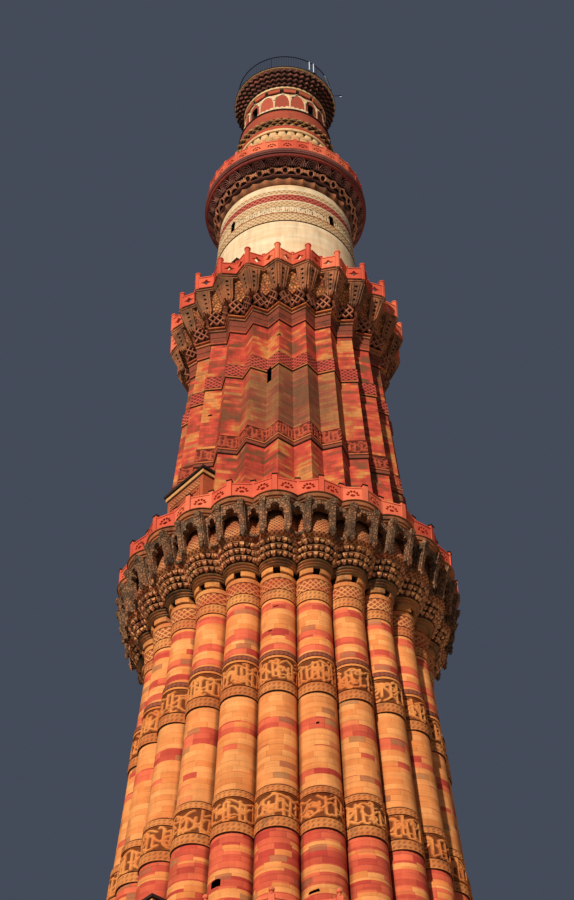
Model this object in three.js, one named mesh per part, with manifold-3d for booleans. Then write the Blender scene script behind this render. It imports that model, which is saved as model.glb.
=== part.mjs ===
import * as THREE from "three";
import { mergeVertices } from "three/addons/utils/BufferGeometryUtils.js";
import Module from "manifold-3d";

// A five-storey fluted stone minaret, made as a half-scale model in millimetres, +Z up.
// The origin is in the middle of the base face, and every doorway faces -Y.
// An azimuth is counted from -Y towards +X.

const wasm = await Module();
wasm.setup();

// Half scale: one metre of the real tower is 500 mm here. All sizes below are real metres times METRE.
const METRE = 500;
// Clearance between neighbours whose meeting faces are curved or cut.
const GAP = 0.3;
// Corners closer than this are one corner.
const TOLERANCE = 1e-3;

const FLUTES = 24;
const PITCH = (2 * Math.PI) / FLUTES;
// Radius of the groove between two flutes, as a share of the radius over the flutes.
const GROOVE = 0.9;
const RIM_GROOVE = 0.95;
const STAR_GROOVE = 0.9;
const STAR_RIM_GROOVE = 0.915;
// Flat sides of one flute or scallop, and of a round storey and its hollow.
const ROUND_FLUTE_SIDES = 4;
const SCALLOP_SIDES = 3;
const ANGULAR_FLUTE_SIDES = 2;
const ROUND_SIDES = 32;
const HOLLOW_SIDES = 24;
const BAND_PROUD = 0.05;

const PLINTH = { height: 0.61, radius: 7.2 };
const STEP = { width: 1.6, tread: 0.3, rises: [0.2, 0.4] };

const STOREYS = [
  { bottom: 0.61, top: 26.3, base: 7.16, crown: 5.75, hollow: 3.4 },
  { bottom: 29.54, top: 41.6, base: 5.48, crown: 4.46, hollow: 2.7 },
  { bottom: 45.05, top: 55.15, base: 4.3, crown: 3.42, hollow: 2.1 },
  { bottom: 57.43, top: 63.7, base: 2.87, crown: 2.47, hollow: 1.6 },
  { bottom: 65.17, top: 71.2, base: 1.85, crown: 1.6, hollow: 1.1 },
];

// Carved bands stand a little proud of the shaft: lowest and highest height of each.
const BANDS = [
  [[3.6, 4.9], [7.6, 9.0], [11.9, 13.3], [16.0, 17.4], [20.1, 21.5], [24.0, 25.4]],
  [[33.1, 34.55], [37.93, 39.47]],
  [[48.8, 49.65], [52.6, 53.3]],
];

// The top storey steps in and out under its cornice: height, radius.
const TOP_STOREY = [
  [65.17, 1.85],
  [68.2, 1.82],
  [68.35, 2.0],
  [68.72, 1.95],
  [68.72, 1.82],
  [69.47, 1.8],
  [69.47, 1.58],
  [70.83, 1.57],
  [70.83, 1.63],
  [71.2, 1.66],
];

const BALCONIES = [
  { under: 29.24, floor: 29.54, crown: 6.4, rim: 6.6 },
  { under: 44.75, floor: 45.05, crown: 5.3, rim: 5.5 },
  { under: 57.26, floor: 57.43, crown: 4.14, rim: 4.23 },
  { under: 64.87, floor: 65.17, crown: 3.03, rim: 3.12 },
];

// Tiers of a corbel course: share of its height, share of its overhang.
const STALACTITE_TIERS = [
  [0, 0], [0.25, 0.07], [0.25, 0.22], [0.41, 0.32], [0.56, 0.5], [0.68, 0.62], [0.68, 0.76], [1, 1],
];
const BRACKET_TIERS = [[0, 0], [0.4, 0.05], [0.4, 0.17], [0.64, 0.27], [0.64, 0.46], [1, 1]];
const ARCADE_TIERS = [[0, 0], [0.2, 0.14], [0.2, 0.27], [0.6, 0.4], [0.6, 0.55], [1, 1]];

const PARAPET = { thickness: 0.16, postWidth: 0.22, slabHeight: 0.58, postHeight: 0.8 };
const PARAPETS = [
  { floor: 29.54, peak: 6.42, groove: 6.18, posts: 48, tall: 0, low: 0 },
  { floor: 45.05, peak: 5.34, groove: 5.13, posts: 48, tall: 0, low: 0 },
  { floor: 57.43, peak: 4.12, groove: 3.75, posts: 48, tall: 0.1, low: -0.05 },
  { floor: 65.17, peak: 2.98, groove: 2.98, posts: 32, tall: 0, low: 0 },
];

// Every arch bulges by this share of its rise. Openings are cut from the axis out to CUT_REACH.
const ARCH_FULLNESS = 0.7;
const ARCH_SEGMENTS = 3;
const CUT_REACH = 8.6;

// Doorways face -Y: clear width, height to the spring of the arch, rise of the arch.
const DOORS = [
  { width: 1.5, spring: 1.9, rise: 0.8 },
  { width: 0.9, spring: 1.3, rise: 0.35 },
  { width: 1.0, spring: 1.55, rise: 0.45 },
  { width: 0.85, spring: 1.4, rise: 0.4 },
  { width: 0.75, spring: 1.3, rise: 0.35 },
];

// Built-out door surrounds: width, height and front plane of the flat roof slab, which juts out all round.
const PORCHES = [
  { storey: 0, width: 3.4, height: 4.2, front: 7.12 },
  { storey: 1, width: 2.0, height: 2.06, front: 5.6 },
  { storey: 2, width: 2.0, height: 2.9, front: 4.4 },
  { storey: 3, width: 1.4, height: 2.12, front: 2.95 },
];
const ROOF_SLAB = { thickness: 0.14, overhang: 0.08 };

// Light slits: storey, azimuth in degrees, height of the sill, width, height to the spring of the head.
const CARDINALS = [0, 90, 180, 270];
const SLITS = [
  { storey: 0, azimuths: [90, 270], sill: 14.0, width: 0.35, spring: 0.75 },
  { storey: 1, azimuths: [30, 210], sill: 31.2, width: 0.3, spring: 0.6 },
  { storey: 2, azimuths: [41, 221], sill: 52.0, width: 0.26, spring: 0.75 },
  { storey: 3, azimuths: CARDINALS, sill: 61.6, width: 0.22, spring: 0.8 },
  { storey: 4, azimuths: CARDINALS, sill: 69.8, width: 0.34, spring: 0.55 },
];

// A wall that openings weaken is built in layers that part at the sills and springs of the openings.
// Each layer is made in four segments, or as a whole ring.
const LAYERS = {
  0: [
    { name: "base", low: 0.61, high: 2.51 },
    { name: "wall", low: 2.51, high: 26.3 },
  ],
  3: [
    { name: "wall", low: 57.43, high: 61.6 },
    { name: "frieze", low: 61.6, high: 62.4 },
    { name: "crown", low: 62.4, high: 63.7, whole: true },
  ],
};

const PLATFORM_TIERS = [
  [71.2, 1.66], [71.35, 1.7], [71.35, 1.78], [71.55, 1.83],
  [71.55, 1.9], [71.8, 2.0], [71.8, 2.07], [72.02, 2.07],
];
const STUMP = { radius: 0.85, height: 0.6, batter: 0.07 };
const RAILING = { radius: 1.93, height: 0.93, posts: 12, sides: 24, bar: 0.05, lowRail: 0.12 };

const COLOURS = {
  redStone: ["#a8552f", 0.85],
  buffStone: ["#b58248", 0.85],
  brownStone: ["#6e4a2b", 0.9],
  salmonStone: ["#c4573a", 0.8],
  marble: ["#cdbf95", 0.55],
  iron: ["#1d1c1e", 0.5],
};

const minaret = new THREE.Group();

// A closed solid from a closed geometry.
function solid(geometry) {
  const bare = geometry.index ? geometry.toNonIndexed() : geometry.clone();
  bare.deleteAttribute("normal");
  bare.deleteAttribute("uv");
  const positions = bare.attributes.position.array;
  for (let i = 0; i < positions.length; i += 1) {
    if (Math.abs(positions[i]) < TOLERANCE) positions[i] = 0;
  }
  const merged = mergeVertices(bare, TOLERANCE);
  return new wasm.Manifold(
    new wasm.Mesh({
      numProp: 3,
      vertProperties: merged.attributes.position.array,
      triVerts: new Uint32Array(merged.index.array),
    }),
  );
}

// A named piece of the tower, in its own colour.
function addPiece(name, shape, colour) {
  const mesh = shape.getMesh();
  const geometry = new THREE.BufferGeometry();
  geometry.setAttribute("position", new THREE.BufferAttribute(new Float32Array(mesh.vertProperties), 3));
  geometry.setIndex(new THREE.BufferAttribute(new Uint32Array(mesh.triVerts), 1));
  geometry.computeVertexNormals();
  const [color, roughness] = COLOURS[colour];
  const material = new THREE.MeshStandardMaterial({ color, roughness, metalness: 0 });
  const piece = new THREE.Mesh(geometry, material);
  piece.name = name;
  minaret.add(piece);
}

// A point of a plan, in shares of the plan's radius.
function planPoint(radius, azimuth) {
  return new THREE.Vector2(radius * Math.sin(azimuth), -radius * Math.cos(azimuth));
}

// One flute is an arc that starts and ends in the grooves. The last groove belongs to the next flute.
function flutePoints(azimuth, groove, sides) {
  if (sides === ANGULAR_FLUTE_SIDES) return [planPoint(groove, azimuth - PITCH / 2), planPoint(1, azimuth)];
  const centre = (1 - groove ** 2) / (2 * (1 - groove * Math.cos(PITCH / 2)));
  const radius = 1 - centre;
  const grooveX = groove * Math.cos(PITCH / 2) - centre;
  const grooveY = groove * Math.sin(PITCH / 2);
  const sweep = Math.atan2(grooveY, grooveX);
  const points = [];
  for (let i = 0; i < sides; i += 1) {
    const turn = -sweep + (2 * sweep * i) / sides;
    const x = centre + radius * Math.cos(turn);
    const y = radius * Math.sin(turn);
    points.push(planPoint(Math.hypot(x, y), azimuth + Math.atan2(y, x)));
  }
  return points;
}

function flutedPlan(groove, sidesOfFlute) {
  const points = [];
  for (let i = 0; i < FLUTES; i += 1) points.push(...flutePoints(i * PITCH, groove, sidesOfFlute(i)));
  return points;
}

const roundFlutes = (groove) => flutedPlan(groove, () => ROUND_FLUTE_SIDES);
const scallops = (groove) => flutedPlan(groove, () => SCALLOP_SIDES);
const angularFlutes = (groove) => flutedPlan(groove, () => ANGULAR_FLUTE_SIDES);
const mixedFlutes = (groove) => flutedPlan(groove, (i) => (i % 2 ? ANGULAR_FLUTE_SIDES : ROUND_FLUTE_SIDES));

function circlePlan() {
  return Array.from({ length: ROUND_SIDES }, (_, i) => planPoint(1, (i * 2 * Math.PI) / ROUND_SIDES));
}

// A solid through a stack of plans, each given as height, radius and unit plan, lowest first.
function loft(levels) {
  const positions = [];
  const corner = (level, i) => {
    const point = level.plan[i % level.plan.length];
    return [point.x * level.radius, point.y * level.radius, level.height];
  };
  const triangle = (a, b, c) => positions.push(...a, ...b, ...c);
  const count = levels[0].plan.length;
  const lowest = levels[0];
  const highest = levels[levels.length - 1];
  for (let i = 0; i < count; i += 1) {
    for (let k = 1; k < levels.length; k += 1) {
      const [low, high] = [levels[k - 1], levels[k]];
      triangle(corner(low, i), corner(low, i + 1), corner(high, i + 1));
      triangle(corner(low, i), corner(high, i + 1), corner(high, i));
    }
    triangle([0, 0, lowest.height], corner(lowest, i + 1), corner(lowest, i));
    triangle([0, 0, highest.height], corner(highest, i), corner(highest, i + 1));
  }
  const geometry = new THREE.BufferGeometry();
  geometry.setAttribute("position", new THREE.BufferAttribute(new Float32Array(positions), 3));
  return solid(geometry);
}

// The levels of a loft from heights and radii in real metres.
function levelsOf(pairs, plan) {
  return pairs.map(([height, radius]) => ({ height: height * METRE, radius: radius * METRE, plan }));
}

function upright(radius, bottom, top, sides) {
  const geometry = new THREE.CylinderGeometry(radius, radius, top - bottom, sides);
  geometry.rotateX(Math.PI / 2);
  geometry.translate(0, 0, (bottom + top) / 2);
  return solid(geometry);
}

// A box from its lowest to its highest corner.
function block(low, high) {
  const geometry = new THREE.BoxGeometry(high[0] - low[0], high[1] - low[1], high[2] - low[2]);
  geometry.translate((low[0] + high[0]) / 2, (low[1] + high[1]) / 2, (low[2] + high[2]) / 2);
  return solid(geometry);
}

// A pointed opening: an upright arch outline, in real metres, pushed outwards from the axis.
function archCutter({ width, sill, spring, rise }, azimuth) {
  const half = width / 2;
  const outline = new THREE.Shape();
  outline.moveTo(-half, sill);
  outline.lineTo(half, sill);
  outline.lineTo(half, sill + spring);
  const shoulder = sill + spring + rise * ARCH_FULLNESS;
  outline.quadraticCurveTo(half, shoulder, 0, sill + spring + rise);
  outline.quadraticCurveTo(-half, shoulder, -half, sill + spring);
  outline.closePath();
  const options = { depth: CUT_REACH, bevelEnabled: false, curveSegments: ARCH_SEGMENTS };
  const geometry = new THREE.ExtrudeGeometry(outline, options);
  geometry.scale(METRE, METRE, METRE);
  geometry.rotateX(Math.PI / 2);
  geometry.rotateZ(azimuth);
  return solid(geometry);
}

const FAR = CUT_REACH * METRE;
const SIDES = [
  ["front_right", [0, -FAR], [FAR, 0]],
  ["back_right", [0, 0], [FAR, FAR]],
  ["back_left", [-FAR, 0], [0, FAR]],
  ["front_left", [-FAR, -FAR], [0, 0]],
];
const HALVES = [
  ["right", [0, -FAR], [FAR, FAR]],
  ["left", [-FAR, -FAR], [0, FAR]],
];

// The share of a ring of masonry that lies over one side of the plan.
function shareOf(ring, low, high, bottom, top) {
  return ring.intersect(block([...low, bottom - METRE], [...high, top + METRE]));
}

function shaftRadius(storey, height) {
  const rise = (height - storey.bottom) / (storey.top - storey.bottom);
  return storey.base + (storey.crown - storey.base) * rise;
}

// The outside of a storey's wall, without its hollow. Extra widens it, to cut what fits round it.
function shaftOutside(index, extra) {
  const storey = STOREYS[index];
  const fluted = [mixedFlutes(GROOVE), roundFlutes(GROOVE), angularFlutes(STAR_GROOVE)];
  const pairs = [[storey.bottom, shaftRadius(storey, storey.bottom) + extra]];
  for (const [low, high] of BANDS[index] ?? []) {
    pairs.push([low, shaftRadius(storey, low) + extra]);
    pairs.push([low, shaftRadius(storey, low) + BAND_PROUD + extra]);
    pairs.push([high, shaftRadius(storey, high) + BAND_PROUD + extra]);
    pairs.push([high, shaftRadius(storey, high) + extra]);
  }
  pairs.push([storey.top, shaftRadius(storey, storey.top) + extra]);
  return loft(levelsOf(index === 4 ? TOP_STOREY : pairs, fluted[index] ?? circlePlan()));
}

function doorCutter(index) {
  return archCutter({ ...DOORS[index], sill: STOREYS[index].bottom }, 0);
}

// The 24-sided plinth is one mass of masonry, with steps cut in under the entrance.
function plinth() {
  const sides = Array.from({ length: FLUTES }, (_, i) => planPoint(1, (i + 0.5) * PITCH));
  let mass = loft(levelsOf([[0, PLINTH.radius], [PLINTH.height, PLINTH.radius]], sides));
  const half = (STEP.width * METRE) / 2;
  const face = PLINTH.radius * METRE;
  STEP.rises.forEach((rise, i) => {
    const back = face - STEP.tread * METRE * (STEP.rises.length - i);
    mass = mass.subtract(block([-half, -FAR, rise * METRE], [half, -back, METRE]));
  });
  addPiece("plinth", mass, "redStone");
}

// Each storey's wall is a hollow ring in four segments, open at its doorway and light slits.
function storeyWall(index, colour) {
  const storey = STOREYS[index];
  const bottom = storey.bottom * METRE;
  const top = storey.top * METRE;
  let ring = shaftOutside(index, 0);
  ring = ring.subtract(upright(storey.hollow * METRE, bottom - METRE, top + METRE, HOLLOW_SIDES));
  ring = ring.subtract(doorCutter(index));
  for (const slit of SLITS.filter((candidate) => candidate.storey === index)) {
    for (const azimuth of slit.azimuths) {
      const opening = { ...slit, rise: slit.width / 2 };
      ring = ring.subtract(archCutter(opening, THREE.MathUtils.degToRad(azimuth)));
    }
  }
  const layers = LAYERS[index] ?? [{ name: "wall", low: storey.bottom, high: storey.top }];
  for (const { name, low, high, whole } of layers) {
    const layer = ring.intersect(block([-FAR, -FAR, low * METRE], [FAR, FAR, high * METRE]));
    if (whole) {
      addPiece(`storey_${index + 1}_${name}`, layer, colour);
    } else {
      for (const [side, from, to] of SIDES) {
        addPiece(`storey_${index + 1}_${name}_${side}`, shareOf(layer, from, to, bottom, top), colour);
      }
    }
  }
}

// The grooves of a corbel course get shallower from the shaft up to the rim.
const scallopsOfTier = (rise) => scallops(GROOVE + (RIM_GROOVE - GROOVE) * rise);
const starOfTier = (rise) => angularFlutes(STAR_GROOVE + (STAR_RIM_GROOVE - STAR_GROOVE) * rise);

// A corbel course carries a balcony: the shaft widens in tiers round the same hollow.
function corbelCourse(index, tiers, planOfTier, colour) {
  const storey = STOREYS[index];
  const balcony = BALCONIES[index];
  const bottom = storey.top * METRE;
  const top = balcony.under * METRE;
  const levels = tiers.map(([rise, out]) => ({
    height: bottom + (top - bottom) * rise,
    radius: (storey.crown + (balcony.crown - storey.crown) * out) * METRE,
    plan: planOfTier(rise),
  }));
  const hollow = upright(storey.hollow * METRE, bottom - METRE, top + METRE, HOLLOW_SIDES);
  const ring = loft(levels).subtract(hollow);
  for (const [side, low, high] of HALVES) {
    addPiece(`balcony_${index + 1}_corbels_${side}`, shareOf(ring, low, high, bottom, top), colour);
  }
}

// The floor slab runs through the shaft: it is the balcony outside and the storey's floor inside.
function balconyFloor(index, plan, colour) {
  const { under, floor, rim } = BALCONIES[index];
  addPiece(`balcony_${index + 1}_floor`, loft(levelsOf([[under, rim], [floor, rim]], plan)), colour);
}

// A parapet of thin slabs between posts, in two halves that part in the middle of a slab.
function parapet(index, colour) {
  const { posts } = PARAPETS[index];
  addPiece(`balcony_${index + 1}_parapet_right`, parapetHalf(PARAPETS[index], 1, posts / 2), colour);
  addPiece(`balcony_${index + 1}_parapet_left`, parapetHalf(PARAPETS[index], posts / 2 + 1, posts), colour);
}

// Half a parapet: stations along its middle line, two to a post, each with the height that follows it.
function parapetHalf({ floor, peak, groove, posts, tall, low }, first, last) {
  const middle = (i) => planPoint((i % 2 ? groove : peak) * METRE, (i * 2 * Math.PI) / posts);
  const toward = (i, j, distance) => {
    const way = middle(j).sub(middle(i));
    return middle(i).add(way.setLength(distance));
  };
  const slabTop = PARAPET.slabHeight * METRE;
  const halfPost = (PARAPET.postWidth * METRE) / 2;
  const joint = (i) => middle(i).distanceTo(middle(i + 1)) / 2 - GAP / 2;
  const stations = [{ at: toward(first, first - 1, joint(first - 1)), top: slabTop }];
  for (let i = first; i <= last; i += 1) {
    const postTop = (PARAPET.postHeight + (i % 2 ? low : tall)) * METRE;
    stations.push({ at: toward(i, i - 1, halfPost), top: postTop });
    stations.push({ at: toward(i, i + 1, halfPost), top: slabTop });
  }
  stations.push({ at: toward(last, last + 1, joint(last)), top: slabTop });
  return battlement(stations, (PARAPET.thickness * METRE) / 2, floor * METRE, slabTop);
}

// A thin upright wall whose top steps up over each post.
function battlement(stations, halfThickness, floor, slabTop) {
  const positions = [];
  const corner = (station, side, height) => {
    const distance = station.at.length();
    const point = station.at.clone().setLength(distance + side * halfThickness);
    return [point.x, point.y, floor + height];
  };
  const face = (...corners) => {
    for (let i = 2; i < corners.length; i += 1) {
      positions.push(...corners[0], ...corners[i - 1], ...corners[i]);
    }
  };
  stations.slice(1).forEach((next, i) => {
    const here = stations[i];
    const { top } = here;
    const isPost = top > slabTop;
    const outer = [corner(here, 1, 0), corner(next, 1, 0), corner(next, 1, slabTop)];
    const inner = [corner(next, -1, 0), corner(here, -1, 0), corner(here, -1, slabTop)];
    if (isPost) {
      outer.push(corner(next, 1, top), corner(here, 1, top));
      inner.push(corner(here, -1, top), corner(next, -1, top));
      face(corner(here, 1, slabTop), corner(here, 1, top), corner(here, -1, top), corner(here, -1, slabTop));
      face(corner(next, -1, slabTop), corner(next, -1, top), corner(next, 1, top), corner(next, 1, slabTop));
    }
    face(...outer, corner(here, 1, slabTop));
    face(...inner, corner(next, -1, slabTop));
    face(corner(here, 1, top), corner(next, 1, top), corner(next, -1, top), corner(here, -1, top));
    face(corner(here, -1, 0), corner(next, -1, 0), corner(next, 1, 0), corner(here, 1, 0));
  });
  const start = stations[0];
  const end = stations.at(-1);
  face(corner(start, -1, 0), corner(start, 1, 0), corner(start, 1, slabTop), corner(start, -1, slabTop));
  face(corner(end, 1, 0), corner(end, -1, 0), corner(end, -1, slabTop), corner(end, 1, slabTop));
  const geometry = new THREE.BufferGeometry();
  geometry.setAttribute("position", new THREE.BufferAttribute(new Float32Array(positions), 3));
  return solid(geometry);
}

// A door surround stands against the shaft on the floor or plinth: two jambs, a head and a roof slab.
function porch({ storey, width, height, front }, colour) {
  const bottom = STOREYS[storey].bottom;
  const underRoof = bottom + height - ROOF_SLAB.thickness;
  const box = (overhang, low, high) => {
    const half = (width / 2 - ROOF_SLAB.overhang + overhang) * METRE;
    const face = (front - ROOF_SLAB.overhang + overhang) * METRE;
    return block([-half, -face, low * METRE], [half, 0, high * METRE]);
  };
  const roofed = box(0, bottom, underRoof).add(box(ROOF_SLAB.overhang, underRoof, bottom + height));
  const shell = roofed.subtract(shaftOutside(storey, (2 * GAP) / METRE));
  const behind = block([-FAR, -STOREYS[storey].hollow * METRE, 0], [FAR, FAR, STOREYS.at(-1).top * METRE]);
  const surround = shell.subtract(behind).subtract(doorCutter(storey));
  addPiece(`storey_${storey + 1}_door_surround`, surround, colour);
}

// The wavy cornice and the flat platform on it are one mass of masonry.
function platform() {
  addPiece("top_platform", loft(levelsOf(PLATFORM_TIERS, circlePlan())), "brownStone");
  const top = PLATFORM_TIERS.at(-1)[0];
  const drum = [[top, STUMP.radius], [top + STUMP.height, STUMP.radius - STUMP.batter]];
  addPiece("cupola_stump", loft(levelsOf(drum, circlePlan())), "buffStone");
}

// An iron railing: two rails on slim posts round the platform.
function railing() {
  const bar = (RAILING.bar * METRE) / 2;
  const radius = RAILING.radius * METRE;
  const top = PLATFORM_TIERS.at(-1)[0] * METRE;
  const rail = (height) => {
    const profile = [[-bar, -bar], [bar, -bar], [bar, bar], [-bar, bar], [-bar, -bar]];
    const points = profile.map(([x, y]) => new THREE.Vector2(radius + x, y));
    const geometry = new THREE.LatheGeometry(points, RAILING.sides);
    geometry.rotateX(Math.PI / 2);
    geometry.translate(0, 0, height);
    return solid(geometry);
  };
  let fence = rail(top + RAILING.height * METRE).add(rail(top + RAILING.lowRail * METRE));
  for (let i = 0; i < RAILING.posts; i += 1) {
    const height = RAILING.height * METRE;
    const post = new THREE.BoxGeometry(2 * bar, 2 * bar, height);
    post.translate(0, -radius, top + height / 2);
    post.rotateZ((i * 2 * Math.PI) / RAILING.posts);
    fence = fence.add(solid(post));
  }
  addPiece("top_railing", fence, "iron");
}

plinth();
storeyWall(0, "redStone");
corbelCourse(0, STALACTITE_TIERS, scallopsOfTier, "brownStone");
balconyFloor(0, scallops(RIM_GROOVE), "buffStone");
parapet(0, "salmonStone");

storeyWall(1, "buffStone");
corbelCourse(1, STALACTITE_TIERS, scallopsOfTier, "brownStone");
balconyFloor(1, scallops(RIM_GROOVE), "buffStone");
parapet(1, "salmonStone");

storeyWall(2, "redStone");
corbelCourse(2, BRACKET_TIERS, starOfTier, "brownStone");
balconyFloor(2, angularFlutes(STAR_RIM_GROOVE), "buffStone");
parapet(2, "salmonStone");

storeyWall(3, "marble");
corbelCourse(3, ARCADE_TIERS, () => circlePlan(), "buffStone");
balconyFloor(3, circlePlan(), "buffStone");
parapet(3, "salmonStone");

storeyWall(4, "redStone");
platform();
railing();
for (const surround of PORCHES) porch(surround, "redStone");

export default minaret;
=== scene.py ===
import math
import bpy
import numpy as np
from mathutils import Matrix
from mathutils.geometry import tessellate_polygon


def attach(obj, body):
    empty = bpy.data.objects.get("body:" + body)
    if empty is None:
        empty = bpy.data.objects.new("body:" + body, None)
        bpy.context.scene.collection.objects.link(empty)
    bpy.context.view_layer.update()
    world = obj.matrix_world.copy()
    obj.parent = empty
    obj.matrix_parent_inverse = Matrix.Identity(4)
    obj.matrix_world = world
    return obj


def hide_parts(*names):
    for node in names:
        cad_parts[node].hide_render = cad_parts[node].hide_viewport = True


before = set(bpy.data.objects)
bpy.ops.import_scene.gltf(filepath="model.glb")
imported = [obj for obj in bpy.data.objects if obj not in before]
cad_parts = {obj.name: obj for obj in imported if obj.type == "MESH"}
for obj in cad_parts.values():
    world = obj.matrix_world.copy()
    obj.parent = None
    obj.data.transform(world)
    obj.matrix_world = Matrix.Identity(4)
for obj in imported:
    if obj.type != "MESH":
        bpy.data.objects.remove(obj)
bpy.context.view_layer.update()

# PLINTH
# A low 24-sided base of large red sandstone blocks, laid in courses with thin dark joints.
# Two steps are cut into it under the entrance. The solid keeps its shape and gets its stone here.
METRE = 0.5  # one metre of the real tower in this half-scale model; sizes below are real metres
FLUTES = 24
PITCH = math.tau / FLUTES


class Signal:
    """What a socket gives. Each + - * or / with another signal or a number adds a math node."""

    def __init__(self, socket):
        self.socket, self.tree = socket, socket.id_data

    def all(self):
        """Every output of the same node."""
        return [Signal(socket) for socket in self.socket.node.outputs]

    def maths(self, operation, *others):
        return wire(self.tree, "ShaderNodeMath", dict(enumerate((self, *others))), operation=operation)

    def __add__(self, other):
        return self.maths("ADD", other)

    def __sub__(self, other):
        return self.maths("SUBTRACT", other)

    def __mul__(self, other):
        return self.maths("MULTIPLY", other)

    def __truediv__(self, other):
        return self.maths("DIVIDE", other)

    def spread(self, start, end, low=0.0, high=1.0, kind="LINEAR"):
        """Takes start to end over to low to high, and no further."""
        inputs = {0: self, 1: start, 2: end, 3: low, 4: high}
        return wire(self.tree, "ShaderNodeMapRange", inputs, interpolation_type=kind)


def wire(tree, kind, inputs=None, output=0, **settings):
    """Adds a node, sets what it is told, links or fills its sockets and gives one of its outputs."""
    made = tree.nodes.new(kind)
    for name, value in settings.items():
        setattr(made, name, value)
    for key, value in (inputs or {}).items():
        if isinstance(value, Signal):
            tree.links.new(value.socket, made.inputs[key])
        else:
            made.inputs[key].default_value = value
    return Signal(made.outputs[output]) if len(made.outputs) else None


class Stone:
    """A stone in the making. Its colour is laid on coat by coat."""

    def __init__(self, name, roughness, colour=None):
        self.material = bpy.data.materials.new(name)
        self.material.use_nodes = True
        self.tree = self.material.node_tree
        self.surface = self.tree.nodes["Principled BSDF"].inputs
        self.surface["Roughness"].default_value = roughness
        self.surface["Specular IOR Level"].default_value = 0.08
        if colour:
            self.surface["Base Color"].default_value = (*colour, 1)
        self.place = self.node("ShaderNodeTexCoord", output="Object")
        self.x, self.y, self.z = self.node("ShaderNodeSeparateXYZ", {0: self.place}).all()
        self.azimuth = self.x.maths("ARCTAN2", self.y * -1.0)

    def node(self, kind, inputs=None, output=0, **settings):
        return wire(self.tree, kind, inputs, output, **settings)

    def noise(self, scale, detail=3.0, stretch=(1, 1, 1), rough=0.55):
        mapped = self.node("ShaderNodeMapping", {"Vector": self.place, "Scale": stretch})
        inputs = {"Vector": mapped, "Scale": scale, "Detail": detail, "Roughness": rough}
        return self.node("ShaderNodeTexNoise", inputs, "Fac")

    def drift(self, x, y, z, detail):
        """Slow noise over three signals."""
        point = self.node("ShaderNodeCombineXYZ", {0: x, 1: y, 2: z})
        return self.node("ShaderNodeTexNoise", {"Vector": point, "Scale": 1.0, "Detail": detail}, "Fac")

    def painted(self, label):
        return self.node("ShaderNodeAttribute", output="Fac", attribute_type="GEOMETRY", attribute_name=label)

    def ramp(self, value, stops, interpolation="LINEAR"):
        """Colours by place from 0 to 1."""
        made = self.node("ShaderNodeValToRGB", {0: value})
        bar = made.socket.node.color_ramp
        bar.interpolation = interpolation
        for place, _ in stops[2:]:
            bar.elements.new(place)
        for element, (place, colour) in zip(bar.elements, stops):
            element.position, element.color = place, (*colour, 1)
        return made

    def mixed(self, share, first, second, blend_type="MIX"):
        """Two colours with a share of the second, each a signal or red, green and blue."""
        first, second = (colour if isinstance(colour, Signal) else (*colour, 1) for colour in (first, second))
        return self.node("ShaderNodeMix", {0: share, 6: first, 7: second}, 2, data_type="RGBA", blend_type=blend_type)

    def coat(self, share, colour):
        self.colour = self.mixed(share, self.colour, colour)

    def shade(self, strength, green=1.0):
        grey = self.node("ShaderNodeCombineColor", {0: strength, 1: strength * green, 2: strength})
        self.colour = self.mixed(1.0, self.colour, grey, "MULTIPLY")

    def lay_courses(self, height, course, stones, shift, seed, radius):
        """Each stone's dice, its number along and up, and how far its side and bed joints are in metres."""
        courses = height / course
        row = courses.maths("FLOOR")
        slip = self.node("ShaderNodeTexWhiteNoise", {"W": row}, "Value", noise_dimensions="1D") * shift
        along = self.azimuth * (stones / math.tau) + stones / 2 + slip
        number = along.maths("FLOOR").maths("MODULO", float(stones))
        label = self.node("ShaderNodeCombineXYZ", {0: number, 1: row, 2: seed})
        dice = self.node("ShaderNodeTexWhiteNoise", {"Vector": label}, "Value", noise_dimensions="3D")
        beside, above = (share.maths("PINGPONG", 0.5) for share in (along, courses))
        return dice, number, row, beside * (math.tau * radius / stones), above * course

    def finish(self, relief=None, strength=0.0, distance=0.0):
        """Gives the material, with a fine relief where one is given."""
        self.tree.links.new(self.colour.socket, self.surface["Base Color"])
        if relief:
            bump = self.node("ShaderNodeBump", {"Height": relief, "Strength": strength, "Distance": distance})
            self.tree.links.new(bump.socket, self.surface["Normal"])
        return self.material


BUFFS = (0.84, 0.345, 0.115), (0.70, 0.225, 0.065)
REDS = (0.46, 0.052, 0.036), (0.74, 0.155, 0.070)
GREYS = (0.36, 0.16, 0.070), (0.38, 0.115, 0.058)
DARK_JOINT = (0.035, 0.018, 0.010)
SOOT = (0.165, 0.080, 0.042)


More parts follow.
